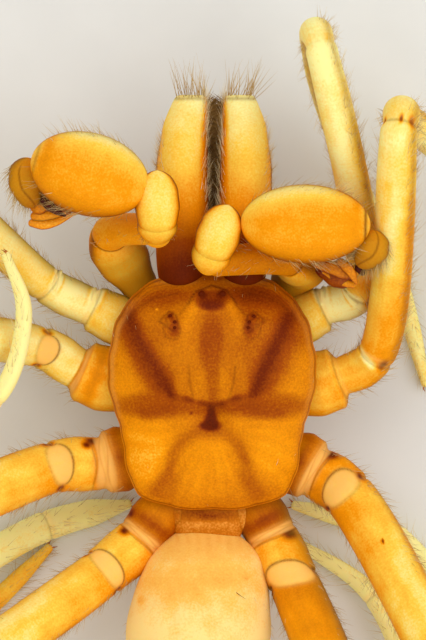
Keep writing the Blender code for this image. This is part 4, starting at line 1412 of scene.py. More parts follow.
@dataclass
class Abdomen:
    """The soft abdomen with its stalk in one skin, and the spinnerets."""

    form: Egg = Egg(
        back=-7.25,
        front=-2.34,
        width=((0.0, 0.62), (0.2, 1.00), (0.45, 1.30), (0.7, 1.33), (0.88, 1.26), (1.0, 1.00)),
        height=((0.0, 0.56), (0.2, 0.98), (0.45, 1.26), (0.7, 1.22), (0.88, 0.98), (1.0, 0.50)),
        centre_x=((0.0, -0.42), (0.5, -0.29), (1.0, -0.10)),
        centre_z=((0.0, 2.05), (0.5, 2.35), (1.0, 2.18)),
        blunt=0.42,
    )
    stalk: Egg = Egg(
        back=-2.62,
        front=-1.30,
        width=((0.0, 0.66), (0.5, 0.66), (1.0, 0.50)),
        height=((0.0, 0.30), (0.5, 0.32), (1.0, 0.32)),
        centre_x=((0.0, -0.07), (1.0, 0.0)),
        centre_z=((0.0, 2.20), (0.5, 2.24), (1.0, 2.20)),
        blunt=0.3,
    )
    cuff: Egg = Egg(
        back=-2.46,
        front=-1.55,
        width=((0.0, 0.72), (0.5, 1.00), (1.0, 0.80)),
        height=((0.0, 0.20), (0.5, 0.26), (1.0, 0.24)),
        centre_x=((0.0, -0.06), (1.0, 0.0)),
        centre_z=((0.0, 2.20), (1.0, 2.22)),
        blunt=0.5,
    )

    MIDDLE = (-0.30, -4.8, 2.3)
    TONES = ((-7.2, 0.62), (-6.2, 0.90), (-4.3, 0.97), (-3.8, 0.88), (-3.3, 0.79), (-2.4, 0.74))
    CLOUDS = ((-0.25, -3.05, 0.50), (-0.85, -3.35, 0.40), (0.35, -3.25, 0.40), (-0.5, -3.6, 0.3))
    FRECKLES = ((-1.30, -3.6, 0.06), (0.62, -3.2, 0.04), (-0.9, -5.2, 0.05), (0.45, -4.6, 0.04))
    PITS = tuple(Spot(-0.30 + side * 0.42, at, 0.12, 0.14) for side in (-1, 1) for at in (-3.9, -4.8))

    def skin(self, mesh: bpy.types.Mesh) -> Skin:
        """The abdomen with soft folds."""
        skin = egg(mesh, self.form, tone=0.90)
        x, y, z = skin.points.T
        folds = 0.010 * np.sin(9.0 * y + 1.5 * np.sin(2.2 * x)) + 0.008 * np.sin(6.0 * x + 4.0 * y)
        dents = -0.04 * sum(pit.cover(x, y) for pit in self.PITS)
        lift = (folds + np.where(z > 2.3, dents, 0.0)) * np.clip((y + 7.2) * 2.0, 0.0, 1.0)
        skin.points = skin.points + unit(skin.points - np.array(self.MIDDLE)) * lift[:, None]
        tone = interpolate(self.TONES, y)
        skin.marks[:, Mark.TONE] = tone + 0.10 * np.abs(x + 0.3) ** 2 + 0.03 * np.sin(1.3 * x + 0.8 * y)
        stripes = 0.5 + 0.5 * np.sin(34.0 * x + 6.0 * np.sin(3.0 * y))
        front = bell(y, -2.42, 0.22)
        lay_on(skin.marks, Mark.FLESH, 0.45, (0.45 + 0.35 * stripes) * bell(y, -2.50, 0.40))
        lay_on(skin.marks, Mark.TONE, 0.52, 0.45 * (1.0 - stripes) * front)
        for at_x, at_y, size in self.CLOUDS:
            lay_on(skin.marks, Mark.TONE, 0.66, 0.50 * Spot(at_x, at_y, size, 0.20).cover(x, y))
        for at_x, at_y, size in self.FRECKLES:
            lay_on(skin.marks, Mark.TONE, 0.30, 0.5 * Spot(at_x, at_y, size, size).cover(x, y))
        return skin

    def waist(self) -> list[bpy.types.Object]:
        """The stalk with its plate, and the brown folds on both sides of it."""
        stalk = egg(ball(96, 64), self.stalk, tone=0.33)
        x, y, _ = stalk.points.T
        lay_on(stalk.marks, Mark.TONE, 0.05, 0.9 * Spot(-0.06, -2.08, 0.44, 0.12, edge=1.5).cover(x, y))
        lay_on(stalk.marks, Mark.TONE, 0.44, 0.8 * Spot(-0.07, -2.25, 0.60, 0.06).cover(x, y))
        cuff = egg(ball(120, 64), self.cuff, tone=0.40)
        x, y, z = cuff.points.T
        cuff.points[:, 2] = z + 0.02 * np.sin(22.0 * x + 5.0 * y)
        waves = 0.5 + 0.5 * np.sin(13.0 * x + 9.0 * y)
        lay_on(cuff.marks, Mark.FLESH, 0.10, 0.5 * waves)
        lay_on(cuff.marks, Mark.TONE, 0.32, 0.5 * (1.0 - waves))
        return [stalk.piece("stalk"), cuff.piece("cuff")]

    def spinneret(self, name: str, offset: float, length: float, size: float) -> Tube:
        """One spinneret of three rings."""
        x = -0.42
        return Tube(
            name=name,
            joints=(
                (x + offset, -7.05, 1.86),
                (x + 1.15 * offset, -7.05 - 0.40 * length, 1.92),
                (x + 1.35 * offset, -7.05 - 0.72 * length, 2.02),
                (x + 1.50 * offset, -7.05 - length, 2.16),
            ),
            radii=((0.0, 1.08 * size), (1.0, size), (2.0, 0.80 * size), (3.0, 0.45 * size)),
            folds=(Fold(1.0), Fold(2.0)),
            tones=((0.0, 0.86), (3.0, 0.95)),
        )

    def build(self, animal: Animal, rod: bpy.types.Mesh) -> tuple[Skin, list[Tube]]:
        """Model the abdomen with its waist and the spinnerets."""
        skin = self.skin(ball(160, 120))
        piece = joined("abdomen_skin", [skin.piece("abdomen_skin"), *self.waist()])
        animal.settle(piece, BELLY, "abdomen_cream", ("abdomen", "pedicel"))
        tubes = []
        for side, sign in (("left", -1.0), ("right", 1.0)):
            long_one = self.spinneret(f"spinneret_long_{side}", 0.24 * sign, 1.20, 0.19)
            short_one = self.spinneret(f"spinneret_short_{side}", 0.10 * sign, 0.42, 0.11)
            piece = joined(f"spinnerets_{side}", [long_one.piece(rod), short_one.piece(rod)])
            animal.settle(piece, LIMB, "limb_pale", (f"spinneret_{side}",))
            tubes.append(long_one)
        return skin, tubes


# Legs


@dataclass(frozen=True)
class Window:
    """The smooth pale membrane over a femur's base, as half sizes in angle and distance."""

    wide: float
    long: float
    turn: float = 0.0
    past: float = 0.0
    sideways: float = 0.0

    JOINT = 2.0

    def paints(self) -> tuple[tuple[float, Paint], ...]:
        """The membrane with its outline and wrinkles, and the dark pegs at its two ends."""
        oval = Spot(self.sideways, self.past, self.wide, self.long, self.turn, edge=4.0)
        ring = Spot(self.sideways, self.past, self.wide, self.long, self.turn, ring=0.12)
        arc = Stroke(tuple(self.edge_place(turn) for turn in np.linspace(-2.9, -0.2, 13)), 0.024)
        apart = self.wide + 0.20
        pegs = [Spot(self.sideways + side * apart, self.past + 0.05, 0.20, 0.085) for side in (-1, 1)]
        paints = (
            Paint(Mark.SEAM, 0.0, 1.0, oval),
            Paint(Mark.OLIVE, 0.0, 1.0, oval),
            Paint(Mark.TONE, 0.90, 1.0, oval),
            Paint(Mark.FLESH, 0.90, 1.0, oval),
            Paint(Mark.SEAM, 0.25, 1.0, ring),
            Paint(Mark.SEAM, 0.70, 1.0, arc),
            *(Paint(Mark.FLESH, 0.60, 0.9, wrinkle) for wrinkle in self.wrinkles()),
            *(Paint(Mark.TONE, 0.08, 0.95, peg) for peg in pegs),
        )
        return tuple((self.JOINT, paint) for paint in paints)

    def edge_place(self, turn: float) -> tuple[float, float]:
        """A point on the window's edge, by its turn round the middle."""
        across, along = self.wide * math.cos(turn), self.long * math.sin(turn)
        cosine, sine = math.cos(self.turn), math.sin(self.turn)
        return self.sideways + across * cosine - along * sine, self.past + across * sine + along * cosine

    def wrinkles(self) -> list[Stroke]:
        """Faint creases that run along the membrane."""
        spans = [(0.5 * (at - 1) * self.wide, 0.35 * self.long * (1 + at % 2)) for at in range(3)]
        middle = [(self.sideways + across, self.past, reach) for across, reach in spans]
        return [Stroke(((x - 0.05, y - reach), (x + 0.04, y), (x, y + reach)), 0.020) for x, y, reach in middle]

    def relief(self) -> tuple[float, float, Shape]:
        """The low swelling of the membrane."""
        return self.JOINT, 0.045, Spot(self.sideways, self.past, self.wide, self.long, self.turn, edge=2.5)


@dataclass
class Leg:
    """One leg, from its hip to its claws, as a single skin.

    The joints run from the hip through trochanter, femur base, knee, end of the
    patella, end of the tibia and end of the metatarsus to the claws.  The tones are
    those of coxa, trochanter, femur, tibia and tarsus, and the ends are the radii of
    metatarsus and tarsus.
    """

    name: str
    coxa: float
    trochanter: float
    femur: float
    joints: Rows
    tones: tuple[float, float, float, float, float]
    # Painted light and shade: how much lighter the leg's front side is than its back, darker when negative.
    lit_side_tone: float = 0.0
    rise: float = 0.0
    olive: float = 0.0
    window: Window | None = None
    membrane: float = 0.0
    crumples: Rows = ()
    knee_seam: float = 0.40
    paints: tuple[tuple[float, Paint], ...] = ()
    ends: tuple[float, float] = (0.20, 0.155)
    hairs: int = 1800

    HIP = 0.40
    COXA_HEIGHT = 0.47
    TAPER = 0.86
    TIBIA = 0.29
    CLAW = 0.08
    LEAD = 0.35
    OLIVE_SHARES = ((0.0, 0.5), (1.2, 1.0), (2.1, 1.0), (2.7, 0.5), (3.2, 0.0))
    CREASES = ((-1.2, 0.10, 0.030), (-0.4, 0.45, 0.018), (0.3, 0.50, 0.018), (1.1, 0.0, 0.030))

    @property
    def outward(self) -> float:
        """1 on the right side and -1 on the left."""
        return 1.0 if self.name.endswith("right") else -1.0

    def radii(self) -> Rows:
        """Radii from the hip to the claws."""
        last = len(self.joints) - 1.0
        metatarsus, tarsus = self.ends
        return (
            (0.0, self.HIP),
            (0.6, self.coxa),
            (0.9, 0.92 * self.coxa),
            (1.06, 0.95 * self.trochanter),
            (1.5, self.trochanter),
            (2.0, 0.93 * self.trochanter),
            (2.25, self.femur),
            (2.7, self.femur),
            (2.92, 0.93 * self.femur),
            (3.0, self.TAPER * self.femur),
            (3.5, 0.95 * self.femur),
            (4.0, 0.95 * self.TIBIA),
            (4.4, 1.05 * self.TIBIA),
            (4.95, 0.5 * (self.TIBIA + metatarsus)),
            (5.1, metatarsus),
            (6.0, 0.5 * (metatarsus + tarsus)),
            (0.5 * (6.0 + last), tarsus),
            (last, self.CLAW),
        )

    def tone_rows(self) -> Rows:
        """Tones from the hip to the claws."""
        coxa, trochanter, femur, tibia, tarsus = self.tones
        return (
            (0.0, coxa - 0.06),
            (0.5, coxa),
            (0.94, coxa),
            (1.04, trochanter),
            (1.9, trochanter),
            (2.1, femur - 0.05 - self.rise),
            (2.5, femur),
            (2.9, femur + 0.02 + self.rise),
            (3.05, 0.5 * (femur + tibia)),
            (4.2, tibia),
            (4.9, tibia + 0.02),
            (5.2, tarsus - 0.03),
            (len(self.joints) - 1.0, tarsus),
        )

    def joint_paints(self) -> tuple[tuple[float, Paint], ...]:
        """The knee's pegs, the crumpled folds with painted shade beside them, and the trochanter's membrane with
        its creases.
        """
        share = 2.0 * self.knee_seam
        rows = [(3.0, Mark.TONE, 0.25, share, Spot(side * 1.3, 0.0, 0.20, 0.06)) for side in (-1, 1)]
        for joint, angle, past in self.crumples:
            pale = Spot(angle, past + 0.04, 0.75, 0.12, edge=1.8)
            rows.append((joint, Mark.OLIVE, 0.0, 1.0, pale))
            rows.append((joint, Mark.TONE, 1.10, 1.0, pale))
            # Painted shade: darker lines laid just beyond and just before each crumpled fold.
            rows.append((joint, Mark.TONE, 0.76, 0.5, Spot(angle, past + 0.19, 0.8, 0.035)))
            rows.append((joint, Mark.TONE, 0.72, 0.6, Spot(angle, past - 0.11, 0.8, 0.030)))
        if self.membrane > 0.0:
            skin = Spot(0.0, 0.0, 2.0, 1.25 * self.membrane, edge=2.0)
            rows.append((1.0, Mark.TONE, self.tones[0] - 0.20, 0.8, Spot(0.0, -0.32, 1.9, 0.13)))
            rows.append((1.0, Mark.TONE, 0.56, 1.0, skin))
            rows.append((1.0, Mark.FLESH, 0.80, 1.0, skin))
            for place, level, width in self.CREASES:
                rows.append((1.0, Mark.FLESH, level, 0.9, self.crease(place, width)))
            rows.append((1.0, Mark.SEAM, 0.40, 0.9, self.crease(1.25, 0.020)))
        return tuple((joint, Paint(*paint)) for joint, *paint in rows)

    def ridges(self) -> list[tuple[float, float, Shape]]:
        """The raised edges of the crumpled folds."""
        rows = []
        for joint, angle, past in self.crumples:
            low = ((angle - 0.7, past), (angle, past + 0.05), (angle + 0.7, past - 0.02))
            high = ((angle - 0.5, past + 0.12), (angle + 0.1, past + 0.15), (angle + 0.6, past + 0.08))
            rows.extend((joint, rise, Stroke(line, 0.030)) for rise, line in ((0.045, low), (0.035, high)))
        return rows

    def crease(self, share: float, width: float) -> Stroke:
        """A wavy line round the membrane of the trochanter."""
        turns = np.linspace(-1.9, 1.9, 14)
        sway = 0.22 * np.sin(3.1 * turns + 5.0 * share + self.coxa * 40.0) - 0.10 * turns**2
        points = tuple((float(turn), float(self.membrane * (share + at))) for turn, at in zip(turns, sway))
        return Stroke(points, width)

    def tube(self) -> Tube:
        """The leg's whole tube."""
        flatness = min(1.0, self.COXA_HEIGHT / self.coxa)
        window = self.window
        open_top = window.wide + 0.12 if window else 0.0
        first = Fold(1.0, dip=0.05, seam=0.0, flesh=0.0) if self.membrane else Fold(1.0, seam=0.35)
        return Tube(
            name=f"{self.name}_skin",
            joints=self.joints,
            radii=self.radii(),
            outward=self.outward,
            lead=self.LEAD,
            flat=((0.0, flatness), (1.6, flatness), (2.1, 1.0), (3.0, 1.0)),
            folds=(
                first,
                Fold(2.0, open_top=open_top, seam=0.35),
                Fold(3.0, dip=0.06, seam=self.knee_seam),
                *(Fold(joint, seam=0.2) for joint in (4.0, 5.0, 6.0)),
            ),
            reliefs=(*self.ridges(), *((window.relief(),) if window else ())),
            tones=self.tone_rows(),
            lit_side_tone=self.lit_side_tone,
            # Painted shade on the flanks and a thin painted dark line at the sides, faded past the tibia.
            flank_shade_tone=-0.09,
            outline=0.30,
            flanks=((0.0, 1.0), (4.6, 1.0), (5.1, 0.25)),
            olive=tuple((place, share * self.olive) for place, share in self.OLIVE_SHARES),
            olive_back=0.6,
            paints=(*self.joint_paints(), *(window.paints() if window else ()), *self.paints),
        )

    def build(self, animal: Animal, rod: bpy.types.Mesh) -> Tube:
        """Model the leg and hand over its tube for hair and claws."""
        tube = self.tube()
        nodes = tuple(f"{self.name}_{part}" for part in ("coxa", "femur", "tibia", "tarsus"))
        animal.settle(tube.piece(rod), LIMB, "limb_amber", nodes)
        return tube


def dark_spot(joint: float, angle: float, past: float, wide: float = 0.22, long: float = 0.09) -> tuple:
    """A dark peg beside a joint."""
    return joint, Paint(Mark.TONE, 0.08, 0.95, Spot(angle, past, wide, long))


LEGS = (
    Leg(
        name="leg_1_right",
        coxa=0.46,
        trochanter=0.35,
        femur=0.31,
        joints=(
            (1.10, 1.14, 2.04), (2.03, 1.67, 2.04), (2.66, 1.95, 2.24), (1.94, 6.36, 4.60),
            (1.86, 6.48, 3.25), (2.36, 4.60, 1.20), (3.38, 2.16, 0.24), (3.90, 0.22, 0.10),
        ),
        tones=(0.88, 1.00, 0.89, 1.02, 1.0),
        lit_side_tone=-0.03,
        rise=0.10,
        olive=0.45,
        crumples=((1.0, 0.9, 0.02), (2.0, 0.2, -0.06)),
        knee_seam=0.05,
        paints=(dark_spot(2.0, -1.2, 0.05),),
    ),
    Leg(
        name="leg_2_right",
        coxa=0.60,
        trochanter=0.37,
        femur=0.36,
        joints=(
            (1.16, 0.12, 2.04), (2.33, 0.42, 2.04), (2.95, 0.80, 2.34), (3.36, 4.92, 4.60),
            (3.50, 5.06, 3.30), (4.64, 3.78, 1.20), (4.72, 1.08, 0.24), (4.86, -0.90, 0.10),
        ),
        tones=(0.81, 0.80, 0.86, 0.95, 0.99),
        lit_side_tone=0.02,
        rise=0.07,
        olive=0.15,
        paints=(
            (2.0, Paint(Mark.TONE, 0.77, 0.65, Stroke(((-0.2, 0.2), (0.1, 3.0)), 0.16))),
            (2.0, Paint(Mark.TONE, 1.05, 0.9, Spot(0.1, 0.02, 0.75, 0.11, turn=0.1, edge=1.8))),
            (2.0, Paint(Mark.FLESH, 0.60, 0.9, Spot(0.0, 0.13, 0.80, 0.04))),
            dark_spot(2.0, -0.95, 0.06),
            dark_spot(3.0, 0.6, 0.0, 0.10, 0.04),
            dark_spot(3.0, -0.6, 0.0, 0.10, 0.04),
        ),
    ),
    Leg(
        name="leg_3_right",
        coxa=0.60,
        trochanter=0.50,
        femur=0.48,
        joints=(
            (1.14, -0.94, 2.04), (1.86, -1.30, 2.04), (2.46, -1.72, 2.26), (4.64, -5.67, 4.50),
            (4.98, -5.98, 3.15), (4.61, -4.32, 1.20), (3.29, -2.47, 0.24), (1.44, -1.91, 0.10),
        ),
        tones=(0.61, 0.72, 0.83, 0.88, 1.06),
        lit_side_tone=0.06,
        window=Window(0.92, 0.33, past=-0.05),
        membrane=0.12,
        paints=(dark_spot(1.0, 1.05, 0.15, 0.34, 0.12), dark_spot(2.0, 0.35, 1.45, 0.05, 0.022)),
        ends=(0.24, 0.21),
    ),
    Leg(
        name="leg_4_right",
        coxa=0.48,
        trochanter=0.49,
        femur=0.49,
        joints=(
            (0.70, -1.72, 2.04), (1.08, -2.46, 2.04), (1.47, -3.28, 2.28), (3.24, -7.42, 4.50),
            (3.54, -7.76, 3.15), (3.83, -6.12, 1.20), (2.93, -3.60, 0.24), (1.55, -2.59, 0.10),
        ),
        tones=(0.50, 0.80, 0.70, 0.84, 1.06),
        lit_side_tone=-0.04,
        olive=0.55,
        window=Window(1.05, 0.29, turn=0.15),
        membrane=0.10,
        paints=(dark_spot(1.0, 0.75, 0.16, 0.34, 0.12),),
        ends=(0.22, 0.14),
    ),
    Leg(
        name="leg_1_left",
        coxa=0.46,
        trochanter=0.36,
        femur=0.36,
        joints=(
            (-1.10, 1.14, 2.04), (-2.18, 1.67, 2.04), (-3.00, 2.09, 2.28), (-6.07, 5.08, 4.60),
            (-6.32, 5.28, 3.20), (-6.07, 3.15, 1.20), (-5.53, 0.72, 0.24), (-5.35, -0.90, 0.10),
        ),
        tones=(0.90, 0.98, 0.94, 0.92, 0.97),
        olive=0.85,
        crumples=((1.0, 0.75, 0.0), (2.0, 0.6, -0.06)),
        knee_seam=0.25,
    ),
    Leg(
        name="leg_2_left",
        coxa=0.60,
        trochanter=0.40,
        femur=0.41,
        joints=(
            (-1.16, 0.14, 2.04), (-2.40, 0.55, 2.04), (-3.10, 0.95, 2.30), (-7.60, 1.26, 4.60),
            (-7.98, 1.04, 3.20), (-6.16, -0.72, 1.70), (-3.88, 0.04, 3.16), (-3.38, 1.58, 3.42),
            (-3.72, 2.66, 3.46),
        ),
        tones=(0.82, 0.93, 0.99, 0.90, 1.08),
        olive=0.40,
        window=Window(0.80, 0.24),
        membrane=0.05,
        ends=(0.18, 0.15),
        hairs=1400,
    ),
    Leg(
        name="leg_3_left",
        coxa=0.60,
        trochanter=0.50,
        femur=0.49,
        joints=(
            (-1.14, -0.94, 2.04), (-1.98, -1.14, 2.04), (-2.88, -1.22, 2.28), (-6.97, -3.06, 4.60),
            (-7.34, -3.30, 3.20), (-5.26, -3.42, 1.20), (-3.00, -2.30, 0.24), (-1.46, -1.89, 0.10),
        ),
        tones=(0.62, 0.85, 0.86, 0.90, 1.06),
        lit_side_tone=0.04,
        window=Window(0.90, 0.28, sideways=0.12),
        membrane=0.17,
        paints=(dark_spot(1.0, 1.02, 0.22, 0.26, 0.12), dark_spot(1.0, 0.75, 0.34, 0.14, 0.08)),
        ends=(0.30, 0.25),
    ),
    Leg(
        name="leg_4_left",
        coxa=0.48,
        trochanter=0.48,
        femur=0.47,
        joints=(
            (-0.72, -1.72, 2.04), (-1.28, -2.50, 2.04), (-1.98, -3.12, 2.28), (-5.58, -5.69, 4.60),
            (-5.90, -6.00, 3.20), (-6.16, -5.22, 1.20), (-4.18, -3.87, 0.24), (-2.92, -2.66, 0.10),
        ),
        tones=(0.56, 0.84, 0.86, 0.90, 0.84),
        lit_side_tone=0.05,
        window=Window(1.05, 0.22),
        membrane=0.10,
        paints=(dark_spot(1.0, 1.20, -0.24), dark_spot(1.0, 0.75, 0.17)),
        ends=(0.22, 0.16),
    ),
)


@dataclass
class Claws:
    """Two curved claws and a small middle one at the end of each leg."""

    length: float = 0.13
    thickness: float = 0.022

    def build(self, animal: Animal, tubes: list[Tube], rod: bpy.types.Mesh) -> None:
        """Model the claws of all legs as one piece."""
        pieces = []
        for tube in tubes:
            end = np.array([tube.line.length - 0.06])
            root = tube.line.point(end)[0]
            ahead = tube.line.read(tube.line.heading, end)[0]
            side = tube.line.read(tube.line.front, end)[0]
            up = tube.line.read(tube.line.dorsal, end)[0]
            for sideways in (-1.0, 0.0, 1.0):
                size = self.length * (1.0 if sideways else 0.6)
                out = ahead + 0.45 * sideways * side
                joints = (
                    root + 0.03 * sideways * side,
                    root + 0.45 * size * out + 0.18 * size * up + 0.03 * sideways * side,
                    root + 1.00 * size * out - 0.25 * size * up + 0.03 * sideways * side,
                )
                claw = Tube(
                    name=f"{tube.name}_claw",
                    joints=tuple(tuple(float(part) for part in joint) for joint in joints),
                    radii=((0.0, self.thickness), (1.0, 0.7 * self.thickness), (2.0, 0.15 * self.thickness)),
                    tones=((0.0, 0.66), (2.0, 0.40)),
                )
                pieces.append(claw.piece(rod))
        animal.settle(joined("claws", pieces), FANG, "limb_amber")


# Palps


@dataclass(frozen=True)
class Plate:
    """One flattened plate of a bulb: its middle line, widest radius and tone."""

    joints: Rows
    radius: float
    tone: float
    flat: float = 0.55
    olive: float = 0.0

    def tube(self, name: str, outward: float) -> Tube:
        """The plate as a tube that is pointed at its far end."""
        size = self.radius
        return Tube(
            name=name,
            joints=self.joints,
            radii=((0.0, 0.70 * size), (0.7, size), (1.3, 0.80 * size), (2.0, 0.25 * size)),
            outward=outward,
            flat=((0.0, self.flat), (2.0, self.flat)),
            tones=((0.0, self.tone - 0.06), (1.0, self.tone), (2.0, self.tone - 0.04)),
            # Strong painted shade towards the plate's flanks.
            flank_shade_tone=-0.40,
            olive=((0.0, self.olive), (2.0, self.olive)),
        )


@dataclass
class Palp:
    """A male palp: its limb, the swollen tibia, and the organ at its end."""

    side: str
    coxa: Rows
    femur_knee: tuple[float, float, float]
    patella: Rows
    tibia: Rows
    tibia_radius: float
    cymbium: Rows
    bulb: Rows
    plates: tuple[Plate, ...]
    limb_tone: float
    point: float
    rim: float
    sheen: float

    LIMB_RADII = ((0.0, 0.34), (1.0, 0.48), (1.5, 0.48), (1.95, 0.34), (2.5, 0.29), (3.0, 0.27), (4.0, 0.26))
    PATELLA_RADII = ((0.0, 0.27), (0.2, 0.355), (0.45, 0.405), (0.7, 0.375), (0.9, 0.29), (1.0, 0.22))
    CYMBIUM_RADII = ((0.0, 0.22), (0.5, 0.30), (1.0, 0.31), (2.0, 0.17))
    BULB_RADII = ((0.0, 0.20), (0.6, 0.28), (1.0, 0.24), (1.6, 0.12), (2.0, 0.05))
    CUP_DROP = 0.10

    @property
    def outward(self) -> float:
        """1 on the right side and -1 on the left."""
        return 1.0 if self.side == "right" else -1.0

    def limb(self) -> Tube:
        """Coxa, trochanter and femur."""
        coxa = Spot(0.0, -0.2, ALL_ROUND, 0.75, edge=3.0)
        return Tube(
            name=f"palp_limb_{self.side}",
            joints=(*self.coxa, self.femur_knee, self.patella[0]),
            radii=self.LIMB_RADII,
            outward=self.outward,
            lead=0.30,
            folds=(Fold(2.0, dip=0.05, seam=0.7, flesh=0.0),),
            tones=((0.0, 0.66), (1.0, 0.76), (1.9, 0.80), (2.05, self.limb_tone), (4.0, self.limb_tone)),
            # Painted shade on the flanks and a painted dark line at the sides, mostly on coxa and trochanter.
            flank_shade_tone=-0.20,
            outline=0.6,
            flanks=((0.0, 1.0), (1.9, 1.0), (2.1, 0.10), (4.0, 0.10)),
            paints=((1.0, Paint(Mark.OLIVE, 0.45, 1.0, coxa)),),
        )

    def cup(self) -> Tube:
        """The rim of the femur that holds the patella, with its point."""
        start, end = np.array(self.patella[0]), np.array(self.patella[1])
        drop = np.array([0.0, 0.0, self.CUP_DROP])
        joints = [start + share * (end - start) - drop for share in (-0.12 - self.point, 0.10, 0.40)]
        rim = Stroke(((-3.2, 0.0), (3.2, 0.0)), 0.03)
        return Tube(
            name=f"palp_cup_{self.side}",
            joints=tuple(tuple(float(part) for part in joint) for joint in joints),
            radii=((0.0, 0.18), (0.5, 0.31), (1.0, 0.36), (2.0, 0.37)),
            outward=self.outward,
            tones=((0.0, 0.74), (1.0, 0.82), (2.0, 0.76)),
            # Painted shade on the flanks and a painted dark line at the sides.
            flank_shade_tone=-0.25,
            outline=0.7,
            olive=((0.0, 0.4), (2.0, 0.5)),
            paints=((2.0, Paint(Mark.SEAM, 0.8, 1.0, rim)),),
        )

    def knee(self) -> Tube:
        """The egg-shaped patella, darker towards its base as painted shade."""
        base = Spot(0.0, 0.02, ALL_ROUND, 0.06)
        return Tube(
            name=f"palp_patella_{self.side}",
            joints=self.patella,
            radii=self.PATELLA_RADII,
            outward=self.outward,
            # Darker towards the base: painted shade.
            tones=((0.0, 0.78), (0.3, 0.86), (1.0, 0.90)),
            # Strong painted shade on the flanks and a painted dark line at the sides.
            flank_shade_tone=-0.40,
            outline=0.8,
            paints=((0.0, Paint(Mark.SEAM, 0.7, 1.0, base)),),
        )

    def swollen_tibia(self) -> Tube:
        """The tibia, an ellipse in outline, with a painted highlight on its forward side and dark at its end."""
        # Painted highlight: a wide pale band along the forward side, where the light falls.
        pale = Spot(0.62 + self.sheen, 0.95, 1.15 * self.sheen, 1.40, edge=1.1)
        end = Spot(0.0, -0.09, ALL_ROUND, 0.030)
        inner = Spot(0.0, -0.24, ALL_ROUND, 0.10)
        return Tube(
            name=f"palp_tibia_{self.side}",
            joints=self.tibia,
            radii=((0.0, self.tibia_radius), (1.0, self.tibia_radius)),
            outward=self.outward,
            oval=True,
            tones=((0.0, 0.77), (0.3, 0.725), (0.8, 0.72), (1.0, 0.76)),
            # Painted shade on the flanks and a painted dark line at the sides.
            flank_shade_tone=-0.24,
            outline=0.6,
            paints=(
                (0.0, Paint(Mark.TONE, 0.97, 0.92, pale)),
                (1.0, Paint(Mark.TONE, 0.66, 0.6, inner)),
                (1.0, Paint(Mark.SEAM, self.rim, 1.0, end)),
            ),
        )

    def leaf(self) -> Tube:
        """The cymbium, a hairy leaf at the tibia's end."""
        crease = Stroke(((0.5, -0.35), (0.1, 0.10), (-0.4, 0.45)), 0.05)
        return Tube(
            name=f"palp_cymbium_{self.side}",
            joints=self.cymbium,
            radii=self.CYMBIUM_RADII,
            outward=self.outward,
            flat=((0.0, 0.85), (2.0, 0.85)),
            tones=((0.0, 0.62), (1.0, 0.60), (2.0, 0.48)),
            # Painted shade on the flanks.
            flank_shade_tone=-0.20,
            olive=((0.0, 0.5), (2.0, 0.8)),
            olive_back=0.8,
            paints=(
                (1.0, Paint(Mark.OLIVE, 0.40, 0.9, Spot(0.0, 0.0, ALL_ROUND, 0.7))),
                (1.0, Paint(Mark.SEAM, 0.6, 1.0, crease)),
            ),
        )

    def bulb_tubes(self) -> list[Tube]:
        """The pear-shaped bulb with its thorn, and the plates over it."""
        pear = Tube(
            name=f"bulb_pear_{self.side}",
            joints=self.bulb,
            radii=self.BULB_RADII,
            outward=self.outward,
            flat=((0.0, 0.8), (2.0, 0.9)),
            tones=((0.0, 0.40), (0.8, 0.32), (1.5, 0.30), (2.0, 0.12)),
        )
        names = [f"bulb_plate_{self.side}_{at}" for at in range(len(self.plates))]
        return [pear, *(plate.tube(name, self.outward) for name, plate in zip(names, self.plates))]

    def build(self, animal: Animal, rod: bpy.types.Mesh) -> dict[str, Tube]:
        """Model the palp and hand over its tubes for the hair."""
        tubes = {"limb": self.limb(), "cup": self.cup(), "patella": self.knee()}
        tubes.update(tibia=self.swollen_tibia(), cymbium=self.leaf())
        nodes = tuple(f"palp_{self.side}_{part}" for part in ("coxa", "femur", "patella", "tibia", "cymbium"))
        skin = joined(f"palp_skin_{self.side}", [tube.piece(rod) for tube in tubes.values()])
        animal.settle(skin, PALP, "limb_amber", nodes)
        bulb = joined(f"bulb_{self.side}", [tube.piece(rod) for tube in self.bulb_tubes()])
        animal.settle(bulb, BULB, "bulb_red", (f"palp_{self.side}_bulb",))
        return tubes


